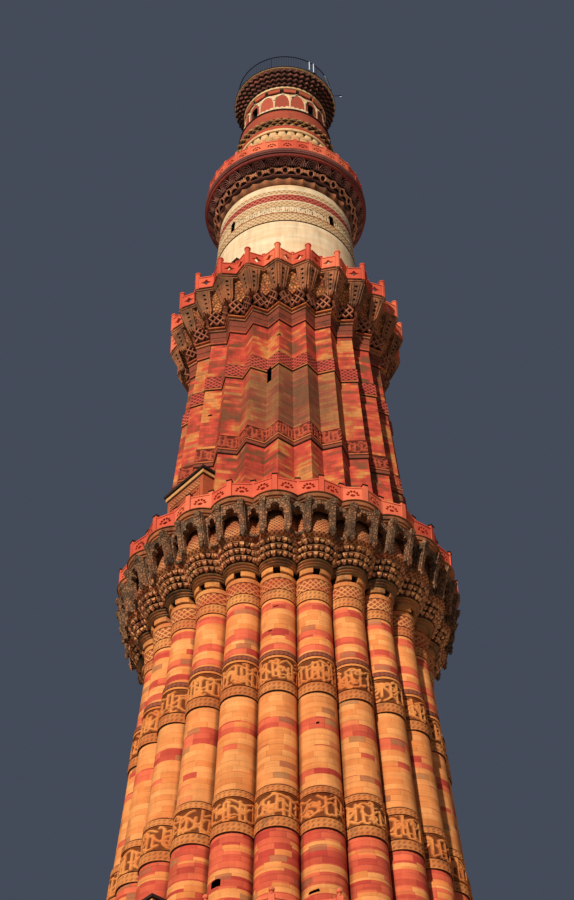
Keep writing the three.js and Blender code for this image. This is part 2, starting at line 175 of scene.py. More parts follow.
def ashlar(name, course, stones, radius, low, high, red_share, grey_share, palette=None, soot=None):
    """Courses of cut stone, red or buff in runs. red_share lists (height, share of red from that height up).
    A palette of colours by place from 0 to 1 runs smoothly along each course instead. Soot is a dull patch
    round the azimuth, height and radius from the axis that it gives, out to its reach."""
    stone = Stone(name, 0.85)
    height = stone.noise(0.8, 1.0) * 0.03 + stone.z / METRE
    dice, number, row, beside, above = stone.lay_courses(height, course, stones, 4.0, 0.37, radius)
    tint, patch, odd = stone.node("ShaderNodeSeparateColor", {0: dice.all()[1]}).all()
    level = (height - low) / (high - low)
    share = stone.ramp(level, [((at - low) / (high - low), (part,) * 3) for at, part in red_share], "CONSTANT")
    if palette:
        drift = stone.drift(stone.x * 2.6, stone.y * 2.6, row * 3.71, 3.0) * 0.45 + stone.noise(1.3, 3.0) * 0.55
        stone.colour = stone.ramp((share - 0.5) * -0.14 + drift, palette)
    else:
        turn = number * (math.tau / stones)
        likeness = stone.drift(turn.maths("COSINE") * 5.0, turn.maths("SINE") * 5.0, row * 4.37, 1.0)
        likeness = (dice - 0.5) * 0.12 + likeness
        is_red = (share * 0.44 + 0.28 - likeness).spread(-0.015, 0.015)
        stone.colour = stone.mixed(is_red, stone.mixed(tint, *BUFFS), stone.mixed(patch, *REDS))
    if soot:
        azimuth, middle, out, reach = soot
        azimuth = math.radians(azimuth)
        centre = (out * math.sin(azimuth) * METRE, -out * math.cos(azimuth) * METRE, middle * METRE)
        gap = stone.node("ShaderNodeVectorMath", {0: stone.place, 1: centre}, "Value", operation="DISTANCE")
        gap = gap + (stone.noise(2.4, 4.0) * 0.6 - 0.3)
        stone.coat(gap.spread(reach * METRE, reach * METRE * 0.55, 0.0, 0.72), SOOT)
    stone.coat(odd.maths("GREATER_THAN", 1 - grey_share) * 0.75, stone.mixed(tint, *GREYS))
    joint = beside.spread(0.003, 0.011, 0.78, 1.0).maths("MINIMUM", above.spread(0.004, 0.014, 0.70, 1.0))
    joint = joint.maths("MAXIMUM", stone.noise(3.0, 2.0).spread(0.35, 0.65, 0.6, 1.0))
    stone.colour = stone.mixed(joint, DARK_JOINT, stone.colour)
    stain, streak = stone.noise(1.1, 4.0), stone.noise(2.2, 3.0, (3.5, 3.5, 0.35))
    bedding = stone.noise(2.4, 3.0, (0.7, 0.7, 7.0))
    shade = (stain * 0.6 + (streak * 0.4 + bedding * 0.4)).spread(0.48, 0.90, 0.66, 1.12)
    # Without a palette, painted shade darkens the stone next to the grooves between flutes, and the stone grows lighter
    # towards the top of the storey.
    if not palette:
        from_groove = (stone.azimuth * (1 / PITCH) + 0.5).maths("PINGPONG", 0.5)
        shade = shade * from_groove.spread(0.012, 0.085, 0.42, 1.0, "SMOOTHSTEP") * level.spread(0.78, 0.92, 1.0, 1.14)
    grain = stone.noise(45.0, 3.0)
    stone.shade(shade * (grain * 0.24 + 0.88))
    return stone.finish(tint * 0.25 + joint * 1.2 + grain * 0.5, 0.5, 0.005)


def settle(slot, nodes, *pieces):
    """Hangs finished pieces on the root and hides the solids that they stand for. The slot is not used."""
    for piece in pieces:
        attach(piece, "root")
        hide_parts(*nodes)


def dress(node, material):
    """Gives a solid that keeps its shape a better stone."""
    solid = bpy.data.objects[node]
    solid.data.materials.clear()
    solid.data.materials.append(material)


lower_stone = ashlar(
    "lower red ashlar", 0.36, 72, 7.0, 0.0, 30.0,
    [(0, 0.8), (0.7, 0.72), (6, 0.8), (14, 0.66), (22, 0.75), (29, 0.6)], 0.06)
dress("plinth", lower_stone)

# SHAFTS OF THE FIRST THREE STOREYS
# Hollow walls of sandstone ashlar over rubble. The first has flutes alternately round and angular, the
# second round ones and the third angular ones. The sizes of the marble shaft stand with theirs.
GROOVE = 0.9  # radius in the grooves between flutes as a share of that over their tips
FLOORS = {1: 0.61, 2: 29.54, 3: 45.05, 4: 57.43, 5: 65.17}  # height of each storey's floor
SHAFTS = {
    1: dict(top=26.3, base=7.16, crown=5.75, hollow=3.4, shape="mixed"),
    2: dict(top=41.6, base=5.48, crown=4.46, hollow=2.7, shape="round"),
    3: dict(top=55.15, base=4.3, crown=3.42, hollow=2.1, shape="angular"),
    4: dict(top=63.7, base=2.87, crown=2.47, hollow=1.6, shape="circle"),
}
# Width of each doorway, height of its jambs and rise of its arch
DOORS = {1: (1.5, 1.9, 0.8), 2: (0.9, 1.3, 0.35), 3: (1.0, 1.55, 0.45), 4: (0.85, 1.4, 0.4), 5: (0.75, 1.3, 0.35)}
# Azimuths of the light slits, height of their sill, and the rest as for the doorways
SLITS = {
    1: ((90, 270), 14.0, 0.35, 0.75, 0.175),
    2: ((27.8, 207.8), 31.42, 0.3, 0.2, 0.06),
    3: ((39.2, 219.2), 52.05, 0.17, 0.6, 0.085),
    4: ((0, 90, 180, 270), 61.6, 0.22, 0.8, 0.11),
    5: ((0, 90, 180, 270), 69.8, 0.34, 0.55, 0.17),
}
# Azimuth, height above the ground, width and rise of the holes where stones are lost
HOLES = {
    2: [(58.5, 36.8, 0.10, 0.10), (55.9, 31.12, 0.28, 0.12), (44.5, 41.3, 0.16, 0.05), (42.4, 40.34, 0.12, 0.06)],
    3: [(44.9, 54.25, 0.14, 0.10), (3.4, 51.34, 0.12, 0.10), (11.8, 49.98, 0.12, 0.08)],
}


def turned(outward, sideways, azimuth):
    """A plan point from its distance outward and sideways at an azimuth counted from -Y towards +X."""
    sin, cos = np.sin(azimuth), np.cos(azimuth)
    return np.stack([outward * sin + sideways * cos, sideways * sin - outward * cos], axis=-1)


def flute(shape, samples, groove=GROOVE):
    """Half-open outline of one flute, groove to groove, over a radius of one."""
    share = 2 * np.arange(samples) / samples - 1
    if shape == "circle":
        return np.cos(PITCH / 2 * share), np.sin(PITCH / 2 * share)
    out, side = groove * math.cos(PITCH / 2), groove * math.sin(PITCH / 2)
    if shape == "angular":
        return out + (1 - out) * (1 - abs(share)), side * share
    centre = (1 - groove ** 2) / (2 * (1 - out))
    turn = math.atan2(side, out - centre) * share
    return centre + (1 - centre) * np.cos(turn), (1 - centre) * np.sin(turn)


def fluted_plan(shape, samples, groove=GROOVE):
    """The whole plan of a fluted shaft over a radius of one, 24 flutes of so many samples."""
    kinds = ("round", "angular") if shape == "mixed" else (shape, shape)
    return np.concatenate([turned(*flute(kinds[i % 2], samples, groove), i * PITCH) for i in range(FLUTES)])


def level(plan, radius, height):
    return np.column_stack([plan * radius, np.full(len(plan), height)])


def ring_faces(rows, columns, closed):
    """Quads between rows of points round the tower; the last row joins the first where closed."""
    i = np.arange(columns)
    following = (i + 1) % columns
    faces = []
    for k in range(rows if closed else rows - 1):
        low, high = k * columns, (k + 1) % rows * columns
        faces.append(np.column_stack([low + i, low + following, high + following, high + i]))
    return np.concatenate(faces).tolist()


def drum_faces(rows, columns):
    """Quads between rows of points, with a flat face over each end."""
    last = (rows - 1) * columns
    return ring_faces(rows, columns, False) + [list(range(columns))[::-1], list(range(last, last + columns))]


def mesh_object(name, corners, faces, material, smooth=30.0):
    """A mesh in model metres from corners in real metres. Edges sharper than smooth degrees stay sharp."""
    mesh = bpy.data.meshes.new(name)
    mesh.from_pydata((np.asarray(corners, dtype=float) * METRE).tolist(), [], faces)
    mesh.materials.append(material)
    if smooth:
        mesh.shade_smooth()
        mesh.set_sharp_from_angle(angle=math.radians(smooth))
    made = bpy.data.objects.new(name, mesh)
    bpy.context.scene.collection.objects.link(made)
    return made


def arch_outline(sill, width, spring, rise):
    """A pointed arch as (across, height) points, anticlockwise from the foot on the left."""
    half, share = width / 2, np.linspace(0, 1, 6)
    across = half * (1 - share) ** 2 + 2 * half * share * (1 - share)
    height = sill + spring + 2 * rise * 0.7 * share * (1 - share) + rise * share ** 2
    right = list(zip(across, height))
    return [(-half, sill), (half, sill)] + right + [(-a, h) for a, h in reversed(right[:-1])]


def prism(outline, near, far, azimuth):
    """An outline pushed outwards from near to far at an azimuth, as corners and faces."""
    across, height = np.array(outline).T
    ends = [np.column_stack([turned(distance, across, azimuth), height]) for distance in (near, far)]
    return np.concatenate(ends), drum_faces(2, len(outline))


def joined(shapes):
    corners, faces, start = [], [], 0
    for points, polygons in shapes:
        corners.append(np.asarray(points, dtype=float))
        faces += [[start + i for i in polygon] for polygon in polygons]
        start += len(points)
    return np.concatenate(corners), faces


def shaft_radius(storey, height):
    shaft, bottom = SHAFTS[storey], FLOORS[storey]
    rise = (height - bottom) / (shaft["top"] - bottom)
    return shaft["base"] + (shaft["crown"] - shaft["base"]) * rise


def openings(storey):
    """The doorway, the light slits and the lost stones of one storey as cutting shapes."""
    azimuths, *slit = SLITS[storey]
    shapes = [prism(arch_outline(FLOORS[storey], *DOORS[storey]), 0.3, 8.0, 0.0)]
    shapes += [prism(arch_outline(*slit), 0.3, 8.0, math.radians(azimuth)) for azimuth in azimuths]
    for azimuth, height, width, tall in HOLES.get(storey, ()):
        ragged = [(-0.5, -0.5), (0.5, -0.3), (0.4, 0.5), (-0.45, 0.2)]
        radius = shaft_radius(storey, height)
        shapes.append(prism([(width * x, height + tall * y) for x, y in ragged],
                            radius * 0.88 - 0.2, radius + 0.5, math.radians(azimuth)))
    return joined(shapes)


# Near black: painted shade inside the cut openings.
reveal_shade = Stone("sooty reveal", 0.95, (0.022, 0.014, 0.010)).material


def bake(target):
    """Turns a piece and its modifiers into a plain mesh."""
    graph = bpy.context.evaluated_depsgraph_get()
    mesh = bpy.data.meshes.new_from_object(target.evaluated_get(graph))
    target.modifiers.clear()
    old = target.data
    mesh.name = old.name
    target.data = mesh
    bpy.data.meshes.remove(old)


def cut_openings(target, storey):
    """Cuts the openings of a storey out of a piece, painted near black inside as shade."""
    cutter = mesh_object("cutter", *openings(storey), reveal_shade, 0)
    modifier = target.modifiers.new("openings", "BOOLEAN")
    modifier.object = cutter
    modifier.material_mode = "TRANSFER"
    modifier.operation = "DIFFERENCE"
    modifier.solver = "EXACT"
    bake(target)
    bpy.data.objects.remove(cutter)


def wall_nodes(storey):
    return [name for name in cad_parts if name.startswith(f"storey_{storey}_") and "door" not in name]


def shaft_wall(name, storey, stone, samples, slot, courses=9):
    """The hollow wall of one storey with its openings."""
    shaft, bottom = SHAFTS[storey], FLOORS[storey]
    plan = fluted_plan(shaft["shape"], samples)
    inside = plan / np.linalg.norm(plan, axis=1)[:, None]
    heights = np.linspace(bottom, shaft["top"], courses)
    rows = [level(plan, shaft_radius(storey, height), height) for height in heights]
    rows += [level(inside, shaft["hollow"], height) for height in (shaft["top"], bottom)]
    wall = mesh_object(name, np.concatenate(rows), ring_faces(len(rows), len(plan), True), stone)
    cut_openings(wall, storey)
    settle(slot, wall_nodes(storey), wall)


middle_stone = ashlar(
    "banded ashlar", 0.2, 72, 5.0, 29.5, 41.8,
    [(29.5, 0.85), (30.1, 0.3), (30.4, 0.9), (31.0, 0.35), (31.3, 0.85), (31.7, 0.2), (31.95, 0.9), (32.5, 0.25),
     (32.7, 0.92), (33.2, 0.12), (35.0, 0.3), (35.2, 0.06), (35.8, 0.4), (36.0, 0.1), (36.6, 0.75), (37.0, 0.08),
     (37.6, 0.3), (37.8, 0.08), (39.57, 0.88), (39.83, 0.05), (40.08, 0.88), (40.38, 0.04), (41.2, 0.88),
     (41.5, 0.08)], 0.045)
upper_stone = ashlar(
    "deep red ashlar", 0.15, 96, 4.0, 45.0, 57.5,
    [(45.0, 0.5), (46.4, 0.4), (47.6, 0.6), (49.6, 0.5), (50.6, 0.7), (51.6, 0.5), (53.3, 0.6), (54.2, 0.2),
     (54.4, 0.6)], 0.02,
    [(0.40, (0.20, 0.075, 0.036)), (0.45, (0.36, 0.060, 0.034)), (0.495, (0.58, 0.075, 0.048)),
     (0.53, (0.56, 0.130, 0.048)), (0.565, (0.64, 0.25, 0.075)), (0.62, (0.46, 0.17, 0.065))], (52, 51.2, 3.7, 2.4))
shaft_wall("storey_1_shaft", 1, lower_stone, 12, "red_sandstone")
shaft_wall("storey_2_shaft", 2, middle_stone, 12, "banded_sandstone")
shaft_wall("storey_3_shaft", 3, upper_stone, 4, "red_sandstone")

# CARVED BANDS ROUND THE SHAFTS
# Belts that stand 5 cm proud, buff on the first two storeys and red on the third: a field of carved
# scrollwork between borders of small lozenges or plain bands, with sunk lines between them. The relief is
# in the mesh, deepest in the fields.
BAND_PROUD = 0.05
BAND_BACKING = 0.2
SUNK = -0.02


def paint(made, label, values):
    """Stores one number for each corner, which a stone reads to lay painted shade in its hollows."""
    layer = made.data.attributes.new(label, "FLOAT", "POINT")
    layer.data.foreach_set("value", np.asarray(values, dtype=np.float32).ravel())


def fluted_rows(shape, samples, profile, relief=None):
    """Rows over a fluted surface through (height, radius, groove), with the relief added straight outwards."""
    rows = []
    for number, (height, radius, groove) in enumerate(profile):
        plan = fluted_plan(shape, samples, groove)
        outwards = plan / np.linalg.norm(plan, axis=1)[:, None]
        lift = 0.0 if relief is None else np.broadcast_to(relief[number], len(plan))[:, None]
        rows.append(level(plan * radius + outwards * lift, 1.0, height))
    return rows


def carved_ring(name, rows, stone, smooth, hollow):
    """A closed ring of masonry through rows of points, the last two at its back, its hollows and its back marked for
    painted shade.
    """
    columns = len(rows[0])
    made = mesh_object(name, np.concatenate(rows), ring_faces(len(rows), columns, True), stone, smooth)
    front = np.broadcast_to(hollow, (len(rows) - 2, columns))
    paint(made, "hollow", np.concatenate([front.ravel(), np.ones(2 * columns)]))
    return made


def relief_ring(name, shape, samples, profile, stone, backing, relief=None, smooth=40.0, soot=None):
    """A closed ring through (height, radius, groove) from the bottom up, with a carved face. It runs back by
    the backing. Its hollows are marked for painted shade, or else the painted shade that is given for each row."""
    relief = np.zeros((len(profile), 1)) if relief is None else relief
    ends = [(height, radius - backing, groove) for height, radius, groove in (profile[-1], profile[0])]
    rows = fluted_rows(shape, samples, profile, relief) + fluted_rows(shape, samples, ends)
    hollow = (relief.max() - relief) / max(relief.max() - relief.min(), 1e-6)
    return carved_ring(name, rows, stone, smooth, np.array(soot)[:, None] if soot else hollow)


def carved_stone(name, light, dark, crust, crust_from=0.52, patch=1.2, deep=0.85, lattice=0.0,
                 ground=(0.16, 0.04, 0.02), around=4.8, hollow_shade=(0.055, 0.024, 0.014), leaves=0.0):
    """Carved stone: two colours in patches, a dark crust from where the noise passes crust_from, and painted
    shade of the colour hollow_shade in its hollows, as strong as deep. A lattice above 0 is so many crossing fillets a
    metre over a ground, on a surface at the radius around; leaves above 0 is so many carved leaves a metre over it,
    with the ground in the cuts. The ground is partly the stone's own colour and partly painted shade in the carving."""
    stone = Stone(name, 0.9)
    stone.colour = stone.mixed(stone.noise(patch, 4.0, (1, 1, 2)).spread(0.4, 0.62), light, dark)
    crusted = stone.noise(patch * 2.3, 5.0, rough=0.7).spread(crust_from, crust_from + 0.13)
    stone.coat(crusted * 0.8, crust)
    grain = stone.noise(38.0, 4.0)
    carvings = []
    if lattice:
        along = stone.azimuth * (round(lattice * around * math.tau) / math.tau)
        up = stone.z * (lattice / METRE)
        rising, falling = (line.maths("PINGPONG", 0.5) for line in (up + along, up - along))
        carvings.append(rising.maths("MINIMUM", falling).spread(0.13, 0.21, 1.0, 0.0))
    if leaves:
        bend = stone.node("ShaderNodeTexNoise", {"Vector": stone.place, "Scale": leaves}, "Color")
        bend = stone.node("ShaderNodeVectorMath", {0: bend, 1: (0.04, 0.04, 0.04)}, operation="MULTIPLY")
        bent = stone.node("ShaderNodeVectorMath", {0: stone.place, 1: bend}, operation="ADD")
        edge = stone.node("ShaderNodeTexVoronoi", {"Vector": bent, "Scale": leaves / METRE}, "Distance",
                          feature="DISTANCE_TO_EDGE")
        carvings.append(edge.spread(0.05, 0.20))
    relief = grain * 0.6
    for carving in carvings:
        stone.colour = stone.mixed(carving * 0.85 + 0.15, ground, stone.colour)
        relief = relief + carving
    stone.shade((grain * 0.7 + 0.55) * (stone.painted("tone") * 0.3 + 0.9))
    # Painted shade in the hollows that the mesh marks.
    stone.coat(stone.painted("hollow").maths("POWER", 1.4) * deep, hollow_shade)
    return stone.finish(relief, 0.7, 0.01)


def arc(cx, cy, radius, start, end):
    turn = np.linspace(math.radians(start), math.radians(end), 5)
    return [(cx + radius * math.cos(t), cy + radius * math.sin(t)) for t in turn]


def scroll_cell(dice, width, height):
    """Strokes of one flute's strapwork: upright ribs, three tendrils that cross them, and curls between."""
    strokes = []
    ribs = dice.integers(7, 11)
    for k in range(ribs):
        x = width * (k + 0.5 + dice.uniform(-0.2, 0.2)) / ribs
        foot, head = dice.uniform(0.03, 0.30) * height, dice.uniform(0.62, 0.97) * height
        strokes.append([(x, foot), (x + dice.uniform(-0.03, 0.03), head)])
        if dice.random() < 0.6:
            strokes.append(arc(x + 0.06, foot, 0.06, 180, 340))
        if dice.random() < 0.5:
            strokes.append(arc(x - 0.05, head, 0.05, 0, 150))
    along = np.linspace(0, width, 17)
    for middle, swing, start in ((0.17, 0.10, 0.0), (0.50, 0.15, math.pi), (0.83, 0.10, 1.3)):
        lift = middle + swing * np.sin(along / width * math.tau * dice.integers(2, 4) + start)
        gap = dice.integers(3, 13)
        points = list(zip(along, lift * height))
        strokes += [points[:gap], points[gap + 1:]]
    for _ in range(3):
        cx, cy = dice.uniform(0.12, 0.88) * width, dice.uniform(0.18, 0.82) * height
        reach = height * dice.uniform(0.10, 0.16)
        start, turns = dice.uniform(0, 360), dice.choice([-1, 1]) * dice.uniform(260, 460)
        share = np.linspace(0, 1, 10)
        turn, out = np.radians(start + turns * share), reach * (1 - 0.7 * share)
        strokes.append(list(zip(cx + out * np.cos(turn), cy + out * np.sin(turn))))
    return strokes


def stroke_relief(strokes, width, height, columns, rows, half_width):
    """Heights from 0 to 1 of flat-topped strokes, over a grid that stops short of its last column."""
    starts = np.array([a for line in strokes for a in line[:-1]])
    ends = np.array([b for line in strokes for b in line[1:]])
    u, v = np.meshgrid(np.arange(columns) / columns * width, np.linspace(0, height, rows))
    points = np.stack([u, v], axis=-1)[:, :, None, :]
    way = ends - starts
    length = np.maximum((way ** 2).sum(-1), 1e-9)
    share = np.clip(((points - starts) * way).sum(-1) / length, 0, 1)
    gap = np.linalg.norm(points - (starts + share[..., None] * way), axis=-1).min(-1)
    return np.clip((half_width * 1.7 - gap) / half_width, 0, 1)


def scroll_relief(seed, width, height, samples, rows, half_width, depth):
    """Strapwork round the whole shaft, each flute carved by hand and so a little different."""
    dice = np.random.default_rng(seed)
    relief = np.concatenate([stroke_relief(scroll_cell(dice, width, height), width, height, samples, rows, half_width)
                             for _ in range(FLUTES)], axis=1)
    relief[0] = relief[-1] = 1.0
    return (relief - 1) * depth


def lozenge_relief(depth):
    """Small pyramids and pits by turns, 24 columns to a flute and five rows, so that the pattern closes."""
    row, column = np.indices((5, FLUTES * 24))
    return np.where((row % 2) * (column % 2), -depth, 0.0)


band_buff = carved_stone(
    "carved buff stone", (0.84, 0.32, 0.092), (0.74, 0.22, 0.060), (0.34, 0.13, 0.05), 0.58, deep=0.93,
    hollow_shade=(0.13, 0.030, 0.010))
band_border = carved_stone(
    "bordering lozenges", (0.76, 0.28, 0.085), (0.60, 0.18, 0.055), (0.28, 0.12, 0.055), 0.55,
    hollow_shade=(0.12, 0.035, 0.013))
band_purple = carved_stone(
    "purple brown border", (0.30, 0.080, 0.048), (0.36, 0.105, 0.058), (0.15, 0.050, 0.033), 0.55)
# Near black: painted shade in the sunk lines between strips and the thin dark lines between courses.
band_line = carved_stone("sunk line in painted shade", (0.05, 0.02, 0.012), (0.035, 0.013, 0.009), (0.02, 0.01, 0.006))
band_red = carved_stone(
    "carved red stone", (0.54, 0.11, 0.055), (0.46, 0.085, 0.045), (0.18, 0.05, 0.033), 0.55,
    hollow_shade=(0.085, 0.016, 0.012))
band_brown = carved_stone("plain brown band", (0.32, 0.075, 0.042), (0.24, 0.070, 0.042), (0.10, 0.045, 0.03))
band_fillet = carved_stone("orange fillet", (0.60, 0.19, 0.07), (0.50, 0.12, 0.05), (0.20, 0.08, 0.04), 0.58)
diaper_red = carved_stone(
    "diapered red stone", (0.68, 0.13, 0.08), (0.54, 0.085, 0.055), (0.24, 0.06, 0.045), 0.58, lattice=6.2,
    ground=(0.11, 0.016, 0.018), around=3.6)
# Each strip of a belt from the bottom up, with the share of the belt's height where it ends
BORDERED = [(0.016, "line", band_line), (0.23, "lozenges", band_border), (0.26, "line", band_line),
            (0.80, "scroll", band_buff), (0.83, "line", band_line)]
WIDE_BELT = BORDERED + [(0.88, "plain", band_buff), (0.90, "line", band_line), (1.0, "lozenges", band_purple)]
BUFF_BELT = BORDERED + [(0.97, "lozenges", band_border), (1.0, "line", band_line)]
ARABESQUE_BELT = [
    (0.04, "line", band_line), (0.18, "plain", band_brown), (0.23, "line", band_line), (0.30, "plain", band_fillet),
    (0.33, "line", band_line), (0.94, "scroll", band_red), (1.0, "line", band_line)]
DIAPER_BELT = [(0.05, "line", band_line), (0.14, "plain", band_fillet), (0.18, "line", band_line),
               (0.94, "plain", diaper_red), (1.0, "line", band_line)]
PLAIN_BELT = [(0.35, "line", band_line), (1.0, "plain", band_red)]
BELTS = {
    1: [(3.6, 4.9, WIDE_BELT), (7.6, 9.0, WIDE_BELT), (11.9, 13.3, WIDE_BELT), (16.0, 17.4, WIDE_BELT),
        (20.1, 21.5, WIDE_BELT), (24.0, 25.4, WIDE_BELT)],
    2: [(33.1, 34.55, BUFF_BELT), (37.93, 39.47, WIDE_BELT)],
    3: [(48.75, 49.65, ARABESQUE_BELT), (52.6, 53.3, DIAPER_BELT), (55.03, 55.15, PLAIN_BELT)],
}
# Label and slot of each storey's belts, columns, rows and half width of its scrolls, and plain columns
BELT_MAKING = {
    1: ("lower", "banded_sandstone", 24, 14, 0.025, 12),
    2: ("middle", "banded_sandstone", 56, 34, 0.025, 12),
    3: ("upper", "red_sandstone", 44, 20, 0.020, 4),
}


def belt(storey, number, low, high, strips):
    """One carved band from its strips."""
    label, slot, fine, scroll_rows, half_width, columns = BELT_MAKING[storey]
    first = 0.0
    for strip, (last, kind, stone) in enumerate(strips):
        bottom, top = low + (high - low) * first, low + (high - low) * last
        first, samples = last, columns
        if kind == "scroll":
            girth, samples = shaft_radius(storey, bottom) * PITCH, fine
            relief = scroll_relief(100 * storey + number, girth, top - bottom, fine, scroll_rows, half_width, 0.038)
        elif kind == "lozenges":
            relief, samples = lozenge_relief(0.025), 24
        else:
            relief = np.full((2, 1), SUNK if kind == "line" else 0.0)
        profile = [(height, shaft_radius(storey, height) + BAND_PROUD, GROOVE)
                   for height in np.linspace(bottom, top, len(relief))]
        made = relief_ring(f"{label}_belt_{number + 1}_{strip + 1}", SHAFTS[storey]["shape"], samples, profile, stone,
                           BAND_BACKING, relief)
        if strips is DIAPER_BELT:
            cut_openings(made, storey)
        settle(slot, wall_nodes(storey), made)


for storey, belts in BELTS.items():
    for number, given in enumerate(belts):
        belt(storey, number, *given)

# CORBELS AND NICHES UNDER THE FIRST TWO BALCONIES
# Brown sandstone in rising courses: lozenge belt, trellis belt, blocks, three rolls, three rows of small
# cells under ledges, trefoil niches between pilasters, and a scalloped rim. Each jumps out over the last.
CORBELS = {
    1: dict(bottom=26.3, floor=29.54, crown=5.75, rim=6.6, hollow=3.4),
    2: dict(bottom=41.6, floor=45.05, crown=4.46, rim=5.5, hollow=2.7),
}
COURSE_RISE = 3.45      # rise and overhang of the second balcony, which the sizes below are given for
COURSE_OVERHANG = 1.04
GROOVE_AT_RIM = 0.95


def course_place(index, rise, out):
    """Height, radius and groove of a point of the corbels, given as on the second balcony."""
    corbel = CORBELS[index]
    height = corbel["bottom"] + rise * (corbel["floor"] - corbel["bottom"]) / COURSE_RISE
    radius = corbel["crown"] + out * (corbel["rim"] - corbel["crown"]) / COURSE_OVERHANG
    return height, radius, GROOVE + (GROOVE_AT_RIM - GROOVE) * rise / COURSE_RISE


def course_ring(index, part, stone, backing, *profile, samples=12, **carving):
    """A closed ring through (rise, out) points from the bottom up."""
    places = [course_place(index, *point) for point in profile]
    return relief_ring(f"balcony_{index}_{part}", "round", samples, places, stone, backing, **carving)


def ring_tree():
    """Copies a piece at even turns round the tower's axis, each with a tone of its own."""
    tree = bpy.data.node_groups.new("copies round the axis", "GeometryNodeTree")
    for label, kind in (("Piece", "Geometry"), ("Copies", "Int"), ("First turn", "Float"), ("Seed", "Int"),
                        ("Stone", "Material")):
        tree.interface.new_socket(label, in_out="INPUT", socket_type=f"NodeSocket{kind}")
    tree.interface.new_socket("Ring", in_out="OUTPUT", socket_type="NodeSocketGeometry")
    piece, copies, first, seed, stone = wire(tree, "NodeGroupInput").all()[:5]
    points = wire(tree, "GeometryNodePoints", {"Count": copies})
    step = wire(tree, "ShaderNodeMath", {0: math.tau, 1: copies}, operation="DIVIDE")
    angles = wire(tree, "ShaderNodeCombineXYZ", {2: wire(tree, "GeometryNodeInputIndex") * step + first})
    placed = wire(tree, "GeometryNodeInstanceOnPoints", {
        "Points": points, "Instance": piece, "Rotation": wire(tree, "FunctionNodeEulerToRotation", {0: angles})})
    tone = wire(tree, "FunctionNodeRandomValue", {"Seed": seed}, 1, data_type="FLOAT")
    toned = wire(tree, "GeometryNodeStoreNamedAttribute", {"Geometry": placed, "Name": "tone", "Value": tone},
                 data_type="FLOAT", domain="INSTANCE")
    real = wire(tree, "GeometryNodeRealizeInstances", {0: toned})
    wire(tree, "NodeGroupOutput", {0: wire(tree, "GeometryNodeSetMaterial", {"Geometry": real, "Material": stone})})
    return tree


copies_tree = ring_tree()


def copies_round(name, stone, seed, shapes, copies=FLUTES, first=0.0, smooth=30.0):
    """One piece at azimuth 0, made of closed shapes, repeated round the tower."""
    made = mesh_object(name, *joined(shapes), stone, smooth)
    modifier = made.modifiers.new("copies", "NODES")
    modifier.node_group = copies_tree
    sockets = {item.name: item.identifier for item in copies_tree.interface.items_tree if item.in_out == "INPUT"}
    for label, value in (("Copies", copies), ("First turn", math.radians(first)), ("Seed", seed), ("Stone", stone)):
        modifier[sockets[label]] = value
    bake(made)
    return made


def pierced_plate(outline, holes, thickness):
    """A flat slab with holes right through it: (across, height, depth) points and faces."""
    loops = [outline] + holes
    flat = [corner for loop in loops for corner in loop]
    count = len(flat)
    faces = []
    for a, b, c in tessellate_polygon([[(x, y, 0.0) for x, y in loop] for loop in loops]):
        (ax, ay), (bx, by), (cx, cy) = flat[a], flat[b], flat[c]
        if (bx - ax) * (cy - ay) < (by - ay) * (cx - ax):
            b, c = c, b
        faces += [[a + count, b + count, c + count], [a, c, b]]
    start = 0
    for number, loop in enumerate(loops):
        turn = sum(p[0] * q[1] - q[0] * p[1] for p, q in zip(loop, loop[1:] + loop[:1]))
        for i in range(len(loop)):
            near, far = start + i, start + (i + 1) % len(loop)
            side = [near, far, far + count, near + count]
            faces.append(side if (turn > 0) == (number == 0) else side[::-1])
        start += len(loop)
    return [(x, y, depth) for depth in (0.0, thickness) for x, y in flat], faces


def stood_up(shape, distance=0.0, azimuth=0.0, foot=0.0, lean=0.0):
    """Stands a shape up facing outwards at a distance from the axis, leaning out above its foot."""
    across, height, depth = np.asarray(shape[0], dtype=float).T
    flat = turned(distance + depth + lean * (height - foot), across, math.radians(azimuth))
    return np.column_stack([flat, height]), shape[1]


def faced(shape, middle, along, foot=0.0, lean=0.0):
    """Stands a shape up in front of the plan line through middle that runs the way along."""
    across, height, depth = np.asarray(shape[0], dtype=float).T
    along = along / np.linalg.norm(along)
    normal = np.array([along[1], -along[0]])
    flat = middle + across[:, None] * along + (depth + lean * height)[:, None] * normal
    return np.column_stack([flat, foot + height]), shape[1]


def turned_over(faces):
    return [face[::-1] for face in faces]


BOX_FACES = [[0, 3, 2, 1], [4, 5, 6, 7]] + ring_faces(2, 4, False)


def slab(middle, half, low, high, near, far, taper=0.0):
    """A block as (across, height, depth) points; taper narrows it towards its foot."""
    corners = [(middle + side * half * share, height, near + (depth - near) * share)
               for height, share in ((low, 1 - taper), (high, 1.0))
               for side, depth in ((-1, near), (1, near), (1, far), (-1, far))]
    return corners, turned_over(BOX_FACES)


def lathe(profile, sides=8):
    """A shape turned on its own upright axis from (radius, height) points, closed at both ends."""
    turns = np.arange(sides) / sides * math.tau
    corners = [(radius * math.cos(t), height, -radius * math.sin(t)) for radius, height in profile for t in turns]
    return corners, drum_faces(len(profile), sides)


def peaked_faces(count):
    """Faces of two outlines and a point over them: flat foot, sides and slopes."""
    slopes = [[count + i, count + (i + 1) % count, 2 * count] for i in range(count)]
    return ring_faces(2, count, False) + [list(range(count))[::-1]] + slopes


def drop(x, low, high, half, depth, waist=0.45, narrow=0.8):
    """A pendant in front of the plane of its panel: upright above its waist, then down to a point."""
    waist = low + (high - low) * waist
    corners = [(x + side * half * width, height, near if side * turn < 0 else far)
               for height, width, near, far in ((high, 1.0, 0, depth), (waist, narrow, 0.01, depth * 1.1))
               for side, turn in ((-1, 1), (1, -1), (1, 1), (-1, -1))]
    return corners + [(x, low, depth * 0.5)], peaked_faces(4)


